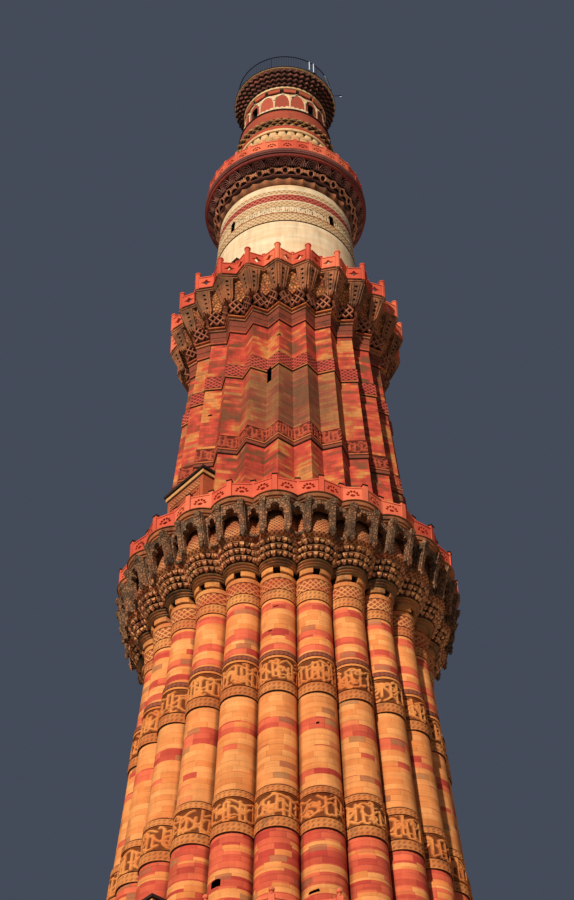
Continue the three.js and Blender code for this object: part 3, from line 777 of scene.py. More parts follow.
def trefoil(width, foot, height, round_foot=False):
    """Outline of a niche with a three-lobed head, anticlockwise."""
    half = width / 2
    right = [(1.0, 0.0), (1.0, 0.58), (0.86, 0.63), (1.0, 0.69), (0.92, 0.77), (0.62, 0.80), (0.46, 0.79),
             (0.52, 0.86), (0.42, 0.94), (0.2, 0.99)]
    if round_foot:
        right[:1] = [(0.3, 0.0), (0.75, 0.05), (1.0, 0.16)]
    outline = [(half * x, foot + height * y) for x, y in right]
    return outline + [(0.0, foot + height)] + [(-x, y) for x, y in outline[::-1]]


corbel_brown = carved_stone(
    "weathered corbel stone", (0.50, 0.20, 0.065), (0.22, 0.13, 0.055), (0.07, 0.05, 0.03), 0.47)
corbel_orange = carved_stone("corbel stone lit orange", (0.72, 0.28, 0.08), (0.46, 0.17, 0.06), (0.16, 0.09, 0.045))
niche_stone = carved_stone(
    "niche plates", (0.47, 0.20, 0.095), (0.27, 0.155, 0.082), (0.085, 0.060, 0.042), 0.48, patch=1.8,
    ground=(0.08, 0.045, 0.03), leaves=10.0)
nose_stone = carved_stone(
    "nose stone", (0.95, 0.46, 0.18), (0.84, 0.33, 0.15), (0.32, 0.14, 0.08), 0.53, patch=4.0,
    ground=(0.30, 0.115, 0.062), leaves=6.5)
# Near black: painted shade for the cores, backs, gaps and shadow lines behind and between the carving; the post caps,
# scale edges and top slab use it too.
corbel_dark = carved_stone(
    "corbel stone in the hollows", (0.024, 0.013, 0.008), (0.016, 0.01, 0.006), (0.01, 0.007, 0.005))
corbel_shade = carved_stone(
    "corbel stone between noses", (0.11, 0.052, 0.032), (0.075, 0.037, 0.024), (0.03, 0.019, 0.013))
niche_back = carved_stone(
    "trellised niche back", (0.76, 0.30, 0.11), (0.56, 0.14, 0.06), (0.20, 0.10, 0.05), 0.54, lattice=7.5,
    ground=(0.16, 0.042, 0.022), deep=0.97)
trellis = carved_stone(
    "trellised belt stone", (0.84, 0.38, 0.13), (0.72, 0.20, 0.07), (0.30, 0.14, 0.06), 0.60, patch=1.6, lattice=5.6,
    ground=(0.36, 0.045, 0.028))
belt_orange = carved_stone("belt stone lit orange", (0.84, 0.34, 0.105), (0.68, 0.19, 0.066), (0.26, 0.12, 0.055), 0.58)
rim_stone = carved_stone("rim stone", (0.52, 0.17, 0.07), (0.34, 0.13, 0.055), (0.09, 0.05, 0.03), 0.5)


NOSES = 10           # bracket noses side by side over one flute
NOSE_SAMPLES = 20    # points of the flute's outline behind each of them
NOSE_LEAN = 0.50
HALF_BAY = 0.674     # half the chord of a flute on the second balcony, which the niches' widths are given for
BLOCK_SAMPLES = 60   # points of the flute's outline that the blocks are picked from


def noses(index, rise, out, half):
    """A row of close bracket noses with blunt points, spread over one flute and leaning outwards."""
    shapes = drop(0.0, 0.0, 0.14, half, 0.09, 0.42, 0.97), drop(0.0, 0.035, 0.14, half * 0.95, 0.065, 0.5, 0.9)
    foot, radius, groove = course_place(index, rise, out)
    outline = turned(*flute("round", NOSES * NOSE_SAMPLES, groove), 0.0) * radius
    row = []
    for k in range(NOSES):
        centre = NOSE_SAMPLES * k + NOSE_SAMPLES // 2
        before, at, after = (outline[centre + step] for step in (-2, 0, 2))
        row.append(faced(shapes[k % 2], at, after - before, foot, NOSE_LEAN))
    return row


def niche_zone(index):
    """The tall niches: an open arch between pilasters on each flute, a tongue-footed niche in each valley."""
    low, foot_radius, _ = course_place(index, 2.12, 0.68)
    high, head_radius, _ = course_place(index, 3.24, 0.92)
    lean = (head_radius - foot_radius) / (high - low)
    unit = foot_radius * math.tan(PITCH / 2) / HALF_BAY
    wide, narrow, tall = 0.475 * unit, 0.24 * unit, high - low
    arch = [(-wide, low)] + trefoil(0.54 * unit, low, tall * 0.86)[::-1] + [(wide, low), (wide, high), (-wide, high)]
    foot = [(narrow * math.cos(t), low + 0.16 - 0.16 * math.sin(t)) for t in np.linspace(math.pi, 0, 9)]
    tongue = pierced_plate(foot + [(narrow, high), (-narrow, high)],
                           [trefoil(narrow * 1.36, low + 0.07, tall * 0.80, True)], 0.14)
    shapes = [stood_up(pierced_plate(arch, [], 0.16), foot_radius - 0.16, 0, low, lean),
              stood_up(tongue, foot_radius * 0.962 - 0.14, math.degrees(PITCH / 2), low, lean)]
    for side in (-1, 1):
        x = side * 0.375 * unit
        parts = [slab(x, 0.065, low + 0.14, high - 0.20, 0, 0.045),
                 slab(x, 0.095, low - 0.01, low + 0.10, 0, 0.085, 0.25),
                 slab(x, 0.08, low + 0.10, low + 0.15, 0, 0.06),
                 slab(x, 0.085, high - 0.22, high - 0.16, 0, 0.065, 0.2),
                 slab(x, 0.10, high - 0.16, high, 0, 0.10, 0.2),
                 drop(x, low - 0.15, low, 0.06, 0.085),
                 slab(side * 0.27 * unit, 0.02, low, low + 0.09, -0.12, 0.0)]
        shapes += [stood_up(part, foot_radius, 0, low, lean) for part in parts]
    return shapes


def block(index, low, high):
    """A bent block between two shares of a flute's width."""
    sections = []
    for rise, out in ((0.975, -0.2), (1.165, -0.2), (1.165, 0.13), (0.975, 0.13)):
        height, radius, groove = course_place(index, rise, out)
        plan = turned(*flute("round", BLOCK_SAMPLES, groove), 0.0)
        picked = np.linspace(low * BLOCK_SAMPLES, high * BLOCK_SAMPLES, 6).astype(int)
        sections.append(level(plan[picked], radius, height))
    return np.stack(sections, axis=1).reshape(-1, 3), drum_faces(6, 4)


def halves(index, part):
    return [f"balcony_{index}_{part}_{side}" for side in ("right", "left")]


def stalactite_course(index):
    """All of the corbels under one balcony, from the shaft up to its rim."""
    hollow = CORBELS[index]["crown"] - CORBELS[index]["hollow"] - 0.1
    pieces = [
        course_ring(index, "core", corbel_dark, hollow, (0.0, -0.02), (0.93, -0.02), (0.94, -0.22), (1.17, -0.22),
                    (1.18, 0.0), (1.9, 0.12), (3.3, 0.45)),
        course_ring(index, "lower_line", band_line, 0.1, (0.0, 0.0), (0.03, 0.0)),
        course_ring(index, "small_belt", belt_orange, 0.2, *[(0.03 + 0.31 * i / 4, 0.03) for i in range(5)],
                    samples=24, relief=lozenge_relief(0.02)),
        course_ring(index, "belt_line", band_line, 0.1, (0.34, 0.01), (0.37, 0.01)),
        course_ring(index, "trellis_belt", trellis, 0.2, (0.37, 0.04), (0.76, 0.05)),
        course_ring(index, "upper_line", band_line, 0.1, (0.76, 0.03), (0.79, 0.03)),
        course_ring(index, "plain_belt", belt_orange, 0.2, (0.79, 0.055), (0.93, 0.07)),
        course_ring(index, "block_shadow", corbel_dark, 0.2, (0.93, 0.02), (0.98, 0.02)),
        course_ring(index, "block_roof", corbel_dark, 0.3, (1.145, 0.07), (1.158, 0.08)),
        course_ring(index, "roll_1", corbel_brown, 0.25, (1.16, 0.10), (1.17, 0.17), (1.20, 0.195), (1.23, 0.17),
                    smooth=60.0),
        course_ring(index, "roll_2", rim_stone, 0.3, (1.24, 0.14), (1.26, 0.21), (1.29, 0.23), (1.315, 0.205),
                    smooth=60.0),
        course_ring(index, "roll_3", corbel_brown, 0.3, (1.325, 0.18), (1.345, 0.255), (1.375, 0.275), (1.40, 0.25),
                    smooth=60.0),
        course_ring(index, "cell_backs", corbel_shade, 0.3, (1.40, 0.12), (1.42, 0.18), (1.70, 0.30), (1.98, 0.44)),
        # Painted shadow over the upper rows of the niche backs, under the trefoil heads.
        course_ring(index, "niche_backs", niche_back, 0.3, (1.98, 0.46), (2.0, 0.54), (2.14, 0.66), (2.36, 0.64),
                    (2.75, 0.54), (3.0, 0.48), (3.3, 0.40), soot=(0.0, 0.0, 0.0, 0.0, 0.45, 1.0, 1.0)),
    ]
    size = 1.18 if index == 1 else 1.0
    brackets = []
    for row, (rise, out) in enumerate(((1.41, 0.235), (1.60, 0.335), (1.79, 0.44))):
        brackets += noses(index, rise, out, (0.062 + 0.003 * row) * size)
        pieces.append(course_ring(
            index, f"cell_ledge_{row + 1}", corbel_brown, 0.2, (rise + 0.135, out + 0.11), (rise + 0.14, out + 0.16),
            (rise + 0.16, out + 0.165), (rise + 0.165, out + 0.11)))
    blocks = [block(index, 0.13, 0.425), block(index, 0.575, 0.87)]
    for part, stone, seed, shapes in (("blocks", corbel_orange, 11, blocks), ("noses", nose_stone, 15, brackets),
                                      ("niches", niche_stone, 21, niche_zone(index))):
        pieces.append(copies_round(f"balcony_{index}_{part}", stone, seed + index, shapes))
    settle("brown_sandstone", halves(index, "corbels"), *pieces)


def stacked_slab(name, rows, stone, node, smooth=30.0):
    """A floor slab through rows of points from the bottom up, flat on both sides."""
    made = mesh_object(name, np.concatenate(rows), drum_faces(len(rows), len(rows[0])), stone, smooth)
    settle("brown_sandstone", [node], made)


RIM_PROFILE = [(3.15, 0.80), (3.20, 0.94), (3.24, 0.95), (3.25, 0.91), (3.28, 0.91), (3.29, 0.985), (3.40, 1.0),
               (3.405, 0.97), (3.43, 0.97), (3.435, 1.04), (3.45, 1.04)]
for index in CORBELS:
    stalactite_course(index)
    rim_rows = fluted_rows("round", 12, [course_place(index, *point) for point in RIM_PROFILE])
    stacked_slab(f"balcony_{index}_scalloped_floor", rim_rows, rim_stone, f"balcony_{index}_floor", 40.0)

# PIERCED PARAPETS OF THE FIRST TWO BALCONIES
# Thin slabs of newer salmon sandstone, each pierced with a half flower, slotted between posts: one on every
# scallop's peak and one in every valley. The second balcony's posts have small dark caps. On the first, the
# posts at the peaks carry turned knobs.
salmon_stone = Stone("salmon parapet stone", 0.8)
salmon_stone.colour = salmon_stone.ramp(
    salmon_stone.painted("tone") * 0.5 + salmon_stone.noise(1.4, 4.0) * 0.6,
    [(0.2, (0.46, 0.066, 0.038)), (0.45, (0.66, 0.11, 0.058)), (0.7, (0.78, 0.185, 0.092)),
     (0.9, (0.52, 0.085, 0.048))])
salmon_grain = salmon_stone.noise(40.0, 3.0) * 0.5 + 0.62
salmon_stone.shade(salmon_stone.noise(5.0, 3.0, (1, 1, 0.35)) * 0.35 + salmon_grain * 0.92)
salmon = salmon_stone.finish()
PANEL_HEIGHT = 0.54
PANEL_THICKNESS = 0.1
POST_GAP = 0.12
VALLEY_TURN = math.degrees(PITCH / 2)


def half_flower(middle, size):
    """Six leaf-shaped holes round the upper half of a flower, and its round foot."""
    near, far, half = 0.50 * size, 1.05 * size, 0.23 * size
    leaf = [(near, 0), ((near + far) / 2, -half), (far, -0.4 * half), (far, 0.4 * half), ((near + far) / 2, half)]
    holes = []
    for angle in np.radians((-82, -50, -17, 17, 50, 82)):
        sin, cos = math.sin(angle), math.cos(angle)
        holes.append([(r * sin - w * cos, middle + r * cos + w * sin) for r, w in leaf])
    return holes + [[(0.42 * size * math.cos(t), middle + size * (0.28 * math.sin(t) - 0.04))
                     for t in np.linspace(0, math.tau, 9)[:-1]]]


def pierced_panel(width, floor, holes, kerb_height=0.0, kerb_depth=0.0):
    """One panel of a parapet with its rail, and with a kerb in front of its foot where one is given."""
    half, top = width / 2, floor + PANEL_HEIGHT
    shapes = [pierced_plate([(-half, floor), (half, floor), (half, top), (-half, top)], holes, PANEL_THICKNESS),
              slab(0, half, top, top + 0.04, -0.01, PANEL_THICKNESS + 0.02)]
    if kerb_height:
        shapes.append(slab(0, half, floor, floor + kerb_height, PANEL_THICKNESS, PANEL_THICKNESS + kerb_depth))
    return shapes


def capped_post(width, height, foot):
    """A square post, and its small pyramid cap."""
    half, top = width / 2, foot + height
    wide = half * 1.15
    corners = [(x, y, depth) for y in (top, top + 0.05)
               for x, depth in ((-wide, -wide), (wide, -wide), (wide, wide), (-wide, wide))]
    cap = corners + [(0, top + 0.05 + half, 0)], turned_over(peaked_faces(4))
    return slab(0, half, foot, top, -half, half), cap


def side_ends(side, tip, valley):
    """The plan points of a tip and of the valley on one side of it, from left to right."""
    ends = [turned(valley, 0.0, side * PITCH / 2), turned(tip, 0.0, 0.0)]
    return ends if side < 0 else ends[::-1]


def on_side(shapes, left, right):
    """Stands shapes up between two plan points; across is counted from the middle between them."""
    return [faced(shape, (left + right) / 2, right - left) for shape in shapes]


def side_panels(tip, valley, *given):
    """The panels on both sides of a tip, down to the valleys beside it."""
    panels = []
    for side in (-1, 1):
        left, right = side_ends(side, tip, valley)
        panels += on_side(pierced_panel(np.linalg.norm(right - left) - POST_GAP, *given), left, right)
    return panels


def scallop_parapet(index, peak, valley):
    floor, caps = FLOORS[index + 1], []
    panels = side_panels(peak, valley, floor, half_flower(floor + 0.25, 0.2), 0.06, 0.02)
    for distance, azimuth in ((peak + 0.03, 0.0), (valley + 0.03, VALLEY_TURN)):
        height = 0.68 if index == 2 or azimuth == 0 else 0.58
        post, cap = capped_post(0.16, height, floor)
        panels.append(stood_up(post, distance, azimuth))
        if index == 2:
            caps.append(stood_up(cap, distance, azimuth))
        elif azimuth == 0:
            knob = [(0.10, 0.0), (0.05, 0.04), (0.035, 0.08), (0.075, 0.12), (0.08, 0.17), (0.05, 0.215), (0.01, 0.23)]
            knob = lathe([(radius, floor + height + rise) for radius, rise in knob])
            panels.append(stood_up(knob, distance, azimuth))
    pieces = [copies_round(f"balcony_{index}_pierced_panels", salmon, 31 + index, panels)]
    if caps:
        pieces.append(copies_round(f"balcony_{index}_post_caps", corbel_dark, 41 + index, caps))
    settle("salmon_sandstone", halves(index, "parapet"), *pieces)


scallop_parapet(1, 6.42, 6.18)
scallop_parapet(2, 5.34, 5.13)

# STAR BALCONY ON THE THIRD STOREY
# Zigzag mouldings, a belt of crossing bars over a recess painted near black as shade, and tapered pendants under
# the 24 tips of a star-shaped floor, with leaf-carved panels in the valleys. The parapet follows the star.
RECESS_FOOT, RECESS_RADIUS, RECESS_LEAN = 55.95, 3.55, 0.22
STAR_TIP, STAR_VALLEY, STAR_RIM_GROOVE = 4.12, 3.75, 0.915
star_brown = carved_stone("star bracket stone", (0.52, 0.19, 0.085), (0.28, 0.12, 0.062), (0.08, 0.045, 0.03), 0.49)
star_orange = carved_stone(
    "rough niche stone", (0.64, 0.20, 0.06), (0.46, 0.10, 0.045), (0.16, 0.07, 0.035), 0.50, 3.0)
star_bars = carved_stone("crossing bars", (0.44, 0.16, 0.085), (0.28, 0.09, 0.052), (0.09, 0.045, 0.032), patch=3.0)
valley_leaves = carved_stone(
    "leaf-carved valley stone", (0.72, 0.27, 0.085), (0.50, 0.13, 0.058), (0.15, 0.065, 0.036), 0.51, 2.6,
    ground=(0.10, 0.04, 0.021), leaves=9.0)
pendant_leaves = carved_stone(
    "leaf-carved pendant stone", (0.62, 0.25, 0.10), (0.40, 0.13, 0.062), (0.12, 0.06, 0.035), 0.50, 2.6,
    ground=(0.06, 0.026, 0.016), leaves=9.0)


def star_ring(name, stone, backing, *profile):
    """A closed zigzag ring through (height, radius over the tips) points from the bottom up."""
    places = [(height, radius, GROOVE) for height, radius in profile]
    return relief_ring(name, "angular", 2, places, stone, backing, smooth=30.0)


def bar(start, end, width, depth):
    """A straight bar between two (across, height) points, as a shape in front of its plane."""
    (ax, ay), (bx, by) = start, end
    length = math.hypot(bx - ax, by - ay)
    nx, ny = (ay - by) / length * width / 2, (bx - ax) / length * width / 2
    base = [(ax + nx, ay + ny), (ax - nx, ay - ny), (bx - nx, by - ny), (bx + nx, by + ny)]
    return [(x, y, d) for d in (0.0, depth) for x, y in base], BOX_FACES


star_pieces = [
    star_ring("star_core", corbel_dark, 1.2, (55.15, 3.36), (55.9, 3.40), (56.5, 3.46), (57.27, 3.60)),
    star_ring("star_plain_1", band_brown, 0.2, (55.15, 3.475), (55.35, 3.485)),
    star_ring("star_thin_line", band_line, 0.2, (55.35, 3.455), (55.375, 3.455)),
    star_ring("star_plain_2", band_brown, 0.2, (55.375, 3.485), (55.62, 3.495)),
    star_ring("star_step_shadow", corbel_dark, 0.2, (55.62, 3.45), (55.96, 3.50)),
    star_ring("star_step_1", star_brown, 0.3, (55.66, 3.50), (55.67, 3.53), (55.73, 3.535), (55.75, 3.51)),
    star_ring("star_step_2", star_orange, 0.3, (55.80, 3.54), (55.81, 3.585), (55.86, 3.59), (55.88, 3.56)),
    star_ring("star_shelf", star_brown, 0.3, (56.50, 3.62), (56.52, 3.70), (56.55, 3.70), (56.57, 3.62)),
]
bars = []
for side in (-1, 1):
    ends = side_ends(side, RECESS_RADIUS, RECESS_RADIUS * GROOVE)
    for row, column in np.ndindex(2, 2):
        low, left, right = RECESS_FOOT + 0.28 * row, 0.25 * column - 0.25, 0.25 * column
        crossed = [bar((start, low), (end, low + 0.28), 0.046, depth)
                   for start, end, depth in ((left, right, 0.075), (right, left, 0.09))]
        for points, faces in on_side(crossed, *ends):
            points[:, :2] *= 1 + RECESS_LEAN * (points[:, 2:] - RECESS_FOOT) / RECESS_RADIUS
            bars.append((points, faces))
star_pieces.append(copies_round("star_crossing_bars", star_bars, 51, bars))
# Plan of a pendant at its foot and at its top as (across, outward), listed by height
PENDANT_PLANS = {
    56.53: [(-0.20, 3.30), (-0.20, 3.62), (0.0, 3.80), (0.20, 3.62), (0.20, 3.30)],
    57.27: [(-0.37, 3.30), (-0.37, 3.87), (0.0, 4.12), (0.37, 3.87), (0.37, 3.30)]}


def on_pendant(shape, side):
    """Lays a shape on one front face of a pendant; it is given in shares of the face and a depth."""
    u, v, depth = (column[:, None] for column in np.asarray(shape[0], dtype=float).T)
    pick = (1, 2) if side < 0 else (2, 3)
    foot, top = ([np.array([places[i][0], -places[i][1], height]) for i in pick]
                 for height, places in PENDANT_PLANS.items())
    low, high = foot[0] + (foot[1] - foot[0]) * u, top[0] + (top[1] - top[0]) * u
    normal = np.cross(foot[1] - foot[0], top[0] - foot[0])
    return low + (high - low) * v + normal / np.linalg.norm(normal) * depth, shape[1]


pendant = [(across, -out, height) for height, places in PENDANT_PLANS.items() for across, out in places]
pendant_holes = [[(0.5 + 0.15 * math.cos(t), share + 0.062 * math.sin(t)) for t in np.linspace(0, math.tau, 7)[:-1]]
                 for share in (0.16, 0.38, 0.60, 0.82)]
pendant_shadow = pierced_plate([(0.25, 0.04), (0.75, 0.04), (0.75, 0.96), (0.25, 0.96)], [], 0.01)
pendant_front = [pierced_plate([(0, 0), (1, 0), (1, 1), (0, 1)], pendant_holes, 0.04)]
pendant_front += [slab(share, 0.0425, -0.03, 1.0, 0.035, 0.065) for share in (0.04, 0.27, 0.73, 0.96)]
pendant_front += [drop(share, -0.17, 0.02, 0.13, 0.05) for share in (0.2, 0.5, 0.8)]
valley = [(0, 56.34), (0.27, 56.60), (0.30, 56.78), (0.22, 57.05), (0, 57.20), (-0.22, 57.05), (-0.30, 56.78),
          (-0.27, 56.60)]
star_pieces += [
    copies_round("star_pendants", pendant_leaves, 52, [(pendant, drum_faces(2, 5))]),
    copies_round("star_pendant_shadows", corbel_dark, 53, [on_pendant(pendant_shadow, side) for side in (-1, 1)]),
    copies_round("star_pendant_fronts", star_brown, 55,
                 [on_pendant(part, side) for side in (-1, 1) for part in pendant_front]),
    copies_round("star_valley_panels", valley_leaves, 56,
                 [stood_up(pierced_plate(valley, [], 0.06), 3.44, VALLEY_TURN, 56.34, 0.30)])]
settle("brown_sandstone", halves(3, "corbels"), *star_pieces)

star_rim = [(57.26, 4.10), (57.27, 4.17), (57.31, 4.18), (57.315, 4.15), (57.34, 4.15), (57.345, 4.20), (57.39, 4.21),
            (57.395, 4.18), (57.41, 4.18), (57.415, 4.23), (57.43, 4.23)]
star_rim = [(height, radius, STAR_RIM_GROOVE) for height, radius in star_rim]
stacked_slab("star_floor", fluted_rows("angular", 2, star_rim), star_brown, "balcony_3_floor")

lozenge = [(0.20, 0), (0.075, 0.05), (0, 0.16), (-0.075, 0.05), (-0.20, 0), (-0.075, -0.05), (0, -0.14),
           (0.075, -0.05)]
lozenge = [(x, FLOORS[4] + 0.28 + y) for x, y in lozenge]
star_panels = side_panels(STAR_TIP, STAR_VALLEY, FLOORS[4], [lozenge], 0.07, 0.025)
for radius, height, dome, distance, azimuth in (
        (0.10, 0.80, 0.07, STAR_TIP, 0.0), (0.075, 0.64, 0.05, STAR_VALLEY + 0.07, VALLEY_TURN)):
    top = FLOORS[4] + height
    post = lathe([(radius, FLOORS[4]), (radius, top), (radius * 1.2, top + 0.01), (radius * 1.2, top + 0.05),
                  (radius * 0.8, top + 0.05 + dome * 0.7), (radius * 0.2, top + 0.05 + dome)])
    star_panels.append(stood_up(post, distance, azimuth))
settle("salmon_sandstone", halves(3, "parapet"), copies_round("star_parapet", salmon, 54, star_panels, smooth=40.0))

# FOURTH STOREY
# A smooth round shaft faced with large pale marble courses, under belts of relief: trellis,
# strapwork and one red belt, with thin plain bands between them and a plain crown.
MARBLE_SAMPLES = 4


def marble_stone(name, light, dark, course, stones, radius):
    """Pale marble in large courses: joints that hardly show, brown streaks where rain runs down."""
    stone = Stone(name, 0.55)
    dice, _, _, beside, above = stone.lay_courses(stone.z / METRE, course, stones, 1.0, 0.11, radius)
    stone.colour = stone.mixed(dice, light, dark)
    joint = beside.maths("MINIMUM", above).spread(0.002, 0.010, 0.84, 1.0)
    streak, veins = stone.noise(2.6, 4.0, (4.0, 4.0, 0.4)), stone.noise(5.0, 4.0, (0.6, 0.6, 6.0), 0.6)
    bedding = stone.noise(3.0, 4.0, (0.5, 0.5, 5.0), 0.65)
    stone.coat(bedding.spread(0.46, 0.66, 0.0, 0.75), (0.84, 0.50, 0.26))
    stone.shade((streak * 0.6 + veins * 0.5).spread(0.38, 0.72, 0.70, 1.08) * joint, 0.98)
    # Painted shade in the hollows that the mesh marks.
    stone.coat(stone.painted("hollow") * 0.8, (0.10, 0.05, 0.025))
    return stone.finish(joint, 0.3, 0.004)


marble = marble_stone("marble courses", (0.90, 0.73, 0.48), (0.82, 0.62, 0.37), 0.36, 18, 2.6)
marble_relief = marble_stone("carved marble", (0.84, 0.70, 0.46), (0.74, 0.57, 0.33), 0.5, 12, 2.5)
beige_relief = carved_stone(
    "trellised marble belt", (0.84, 0.60, 0.34), (0.74, 0.48, 0.24), (0.50, 0.30, 0.15), 0.60, lattice=5.0,
    ground=(0.42, 0.22, 0.11), around=2.6, deep=0.7)
red_relief = carved_stone(
    "carved red belt", (0.68, 0.17, 0.11), (0.56, 0.11, 0.07), (0.26, 0.06, 0.045), 0.60, lattice=4.4,
    ground=(0.17, 0.020, 0.022), around=2.6)
shaft_wall("marble_shaft", 4, marble, MARBLE_SAMPLES, "marble", 3)
SCROLL_FROM = 61.95
SLITS_UP_TO = 62.7
MARBLE_BELTS = [
    (61.42, 61.45, band_line), (61.45, 61.88, beige_relief), (61.89, 61.93, star_orange),
    (SCROLL_FROM, 62.30, marble_relief),
    (62.32, 62.63, beige_relief), (62.64, 62.70, marble_relief), (62.71, 63.08, red_relief),
    (63.09, 63.15, marble_relief), (63.16, 63.34, beige_relief), (63.35, 63.69, marble_relief)]
for number, (low, high, stone) in enumerate(MARBLE_BELTS):
    samples, relief = MARBLE_SAMPLES, np.zeros((2, 1))
    if low == SCROLL_FROM:
        samples, relief = 28, scroll_relief(400, PITCH * 2.55, high - low, 28, 14, 0.016, 0.024)
    proud = 0.012 if stone is band_line else 0.03
    profile = [(height, shaft_radius(4, height) + proud, 1.0) for height in np.linspace(low, high, len(relief))]
    piece = relief_ring(f"marble_belt_{number + 1}", "circle", samples, profile, stone, 0.12, relief)
    if SCROLL_FROM <= low < SLITS_UP_TO:
        cut_openings(piece, 4)
    settle("marble", wall_nodes(4), piece)

# CORBELS AND PARAPET OF THE FOURTH BALCONY
# A scalloped roll, a recess painted near black as shade, a chain of small wheels, then fans of nested arcs on a soffit
# that leans far out, and a red and purple rim. All of it is deeply shadowed sandstone; the parapet is salmon.
FANS = 34
FANS_FROM = 49.0     # azimuth of the first one
WHEEL_RADIUS = 2.7   # distance from the axis that their widths are worked out at
ARC_RADIUS = 2.93
fan_stone = carved_stone("fan stone", (0.32, 0.135, 0.105), (0.23, 0.095, 0.078), (0.085, 0.045, 0.040))
rim_red = carved_stone("dark red rim", (0.34, 0.055, 0.04), (0.26, 0.05, 0.04), (0.10, 0.03, 0.03), 0.56)
rim_purple = carved_stone("purple rim stone", (0.25, 0.085, 0.065), (0.18, 0.065, 0.055), (0.08, 0.035, 0.03), 0.54)
wheel_stone = carved_stone("wheel stone", (0.82, 0.36, 0.19), (0.54, 0.22, 0.13), (0.16, 0.08, 0.06), 0.53, 2.4)


def turned_ring(name, stone, backing, *profile, samples=96, waves=0, depth=0.0, smooth=40.0, zigzag=None):
    """A closed round ring through (height, radius) points; waves ripple each row by the given depth.
    They have pointed tips, or are a plain zigzag from the given share of a wave on."""
    turns = np.arange(samples) / samples
    plan, phase = turned(np.ones(samples), 0.0, turns * math.tau), turns * waves
    wave = np.abs(np.sin(phase * math.pi)) if zigzag is None else np.abs((phase + zigzag) % 1 * 2 - 1)
    rows = [level(plan, (radius - depth * wave)[:, None], height) for height, radius in profile]
    rows += [level(plan, radius - backing, height) for height, radius in (profile[-1], profile[0])]
    # The troughs of the waves and the back are marked for painted shade.
    return carved_ring(name, rows, stone, smooth, 0.8 * wave)


def arc_ridge(cy, radius, width, depth, start, end, steps):
    """A raised arc on a flat face round a point at the height cy, as a bent bar with a flat back."""
    section = ((radius - width / 2, 0.0), (radius + width / 2, 0.0), (radius, depth))
    corners = [(r * math.cos(t), cy + r * math.sin(t), d)
               for t in np.radians(np.linspace(start, end, steps)) for r, d in section]
    return corners, turned_over(drum_faces(steps, 3))


fan_pieces = [
    turned_ring("fan_core", corbel_dark, 0.85, (63.7, 2.46), (64.2, 2.50), (64.24, 2.58), (64.5, 2.74), (64.87, 3.0)),
    turned_ring("fan_scalloped_roll", star_brown, 0.2, (63.70, 2.50), (63.76, 2.58), (63.84, 2.63), (63.94, 2.64),
                (64.02, 2.60), samples=12 * FANS, waves=FANS, depth=0.08),
    turned_ring("fan_foot_line", fan_stone, 0.1, (64.20, 2.55), (64.215, 2.59), (64.235, 2.60)),
    turned_ring("fan_rim_line", rim_red, 0.3, (64.80, 3.04), (64.85, 3.08), (64.87, 3.08)),
]
wheels = [arc_ridge(64.36, 0.115, 0.045, 0.05, 36 * k, 36 * k + 38, 3) for k in range(10)]
half_step = math.tau * WHEEL_RADIUS / FANS / 2
for end in (-1, 1):
    for low, high in ((64.31, 64.42), (64.42, 64.31)):
        wheels.append(bar((end * 0.12, low), (end * half_step, 64.365 + (high - 64.365) * 0.6), 0.04, 0.045))
wheels = [stood_up(part, 2.60, 0.0, 64.24, 0.62) for part in wheels]
fan_pieces.append(copies_round("fan_wheels", wheel_stone, 61, wheels, FANS, FANS_FROM))
fans = []
for ring in range(4):
    size = math.tau * ARC_RADIUS / FANS / 2 * (0.94 - 0.235 * ring)
    corners, faces = arc_ridge(0, size, 0.036, 0.05, 0, 180, 11)
    fans.append(stood_up(([(x, 64.53 + y * 1.2, depth) for x, y, depth in corners], faces), 2.77, 0.0, 64.53, 0.78))
fan_pieces.append(copies_round("fan_arcs", fan_stone, 62, fans, FANS, FANS_FROM, 60.0))
settle("brown_sandstone", halves(4, "corbels"), *fan_pieces)


def round_slab(name, stone, node, *profile):
    stacked_slab(name, fluted_rows("circle", 4, [(height, radius, 1.0) for height, radius in profile]), stone, node)


round_slab("fan_floor", rim_purple, "balcony_4_floor", (64.86, 3.00), (64.87, 3.05), (64.94, 3.05), (64.95, 3.10),
           (65.00, 3.11), (65.005, 3.09), (65.02, 3.09), (65.025, 3.12), (65.17, 3.12))
POSTS = 32
chord = 2 * 2.98 * math.tan(math.pi / POSTS)
fourth_panels = [stood_up(shape, 2.93, 180 / POSTS)
                 for shape in pierced_panel(chord - 0.1, FLOORS[5], half_flower(65.43, 0.17))]
fourth_panels.append(stood_up(capped_post(0.12, 0.68, FLOORS[5])[0], 2.99))
settle("salmon_sandstone", halves(4, "parapet"), copies_round("fourth_parapet", salmon, 63, fourth_panels, POSTS))

# FIFTH STOREY
# A narrow round shaft: four rows of golden scales with dark edges and one of cream ones with cut corners,
# a zigzag cornice, then a drum with sixteen white arches that hold red panels, under a belt of red bars.
cream = marble_stone("cream stone", (0.80, 0.57, 0.29), (0.66, 0.42, 0.19), 0.5, 16, 1.7)
drum_red = carved_stone("red panel stone", (0.48, 0.10, 0.055), (0.38, 0.08, 0.048), (0.24, 0.065, 0.04), 0.58)
golden = marble_stone("golden scales", (0.68, 0.40, 0.17), (0.52, 0.28, 0.11), 0.5, 16, 1.7)
zigzag_stone = carved_stone("zigzag stone", (0.66, 0.38, 0.17), (0.46, 0.23, 0.10), (0.13, 0.065, 0.04), 0.50, 3.0)
TEETH = dict(samples=320, waves=40, smooth=20.0)
core = turned_ring("fifth_core", cream, 0.46, (65.17, 1.85), (66.7, 1.83), (68.2, 1.78), (68.9, 1.78), (69.47, 1.56),
                   (71.2, 1.56))
cut_openings(core, 5)
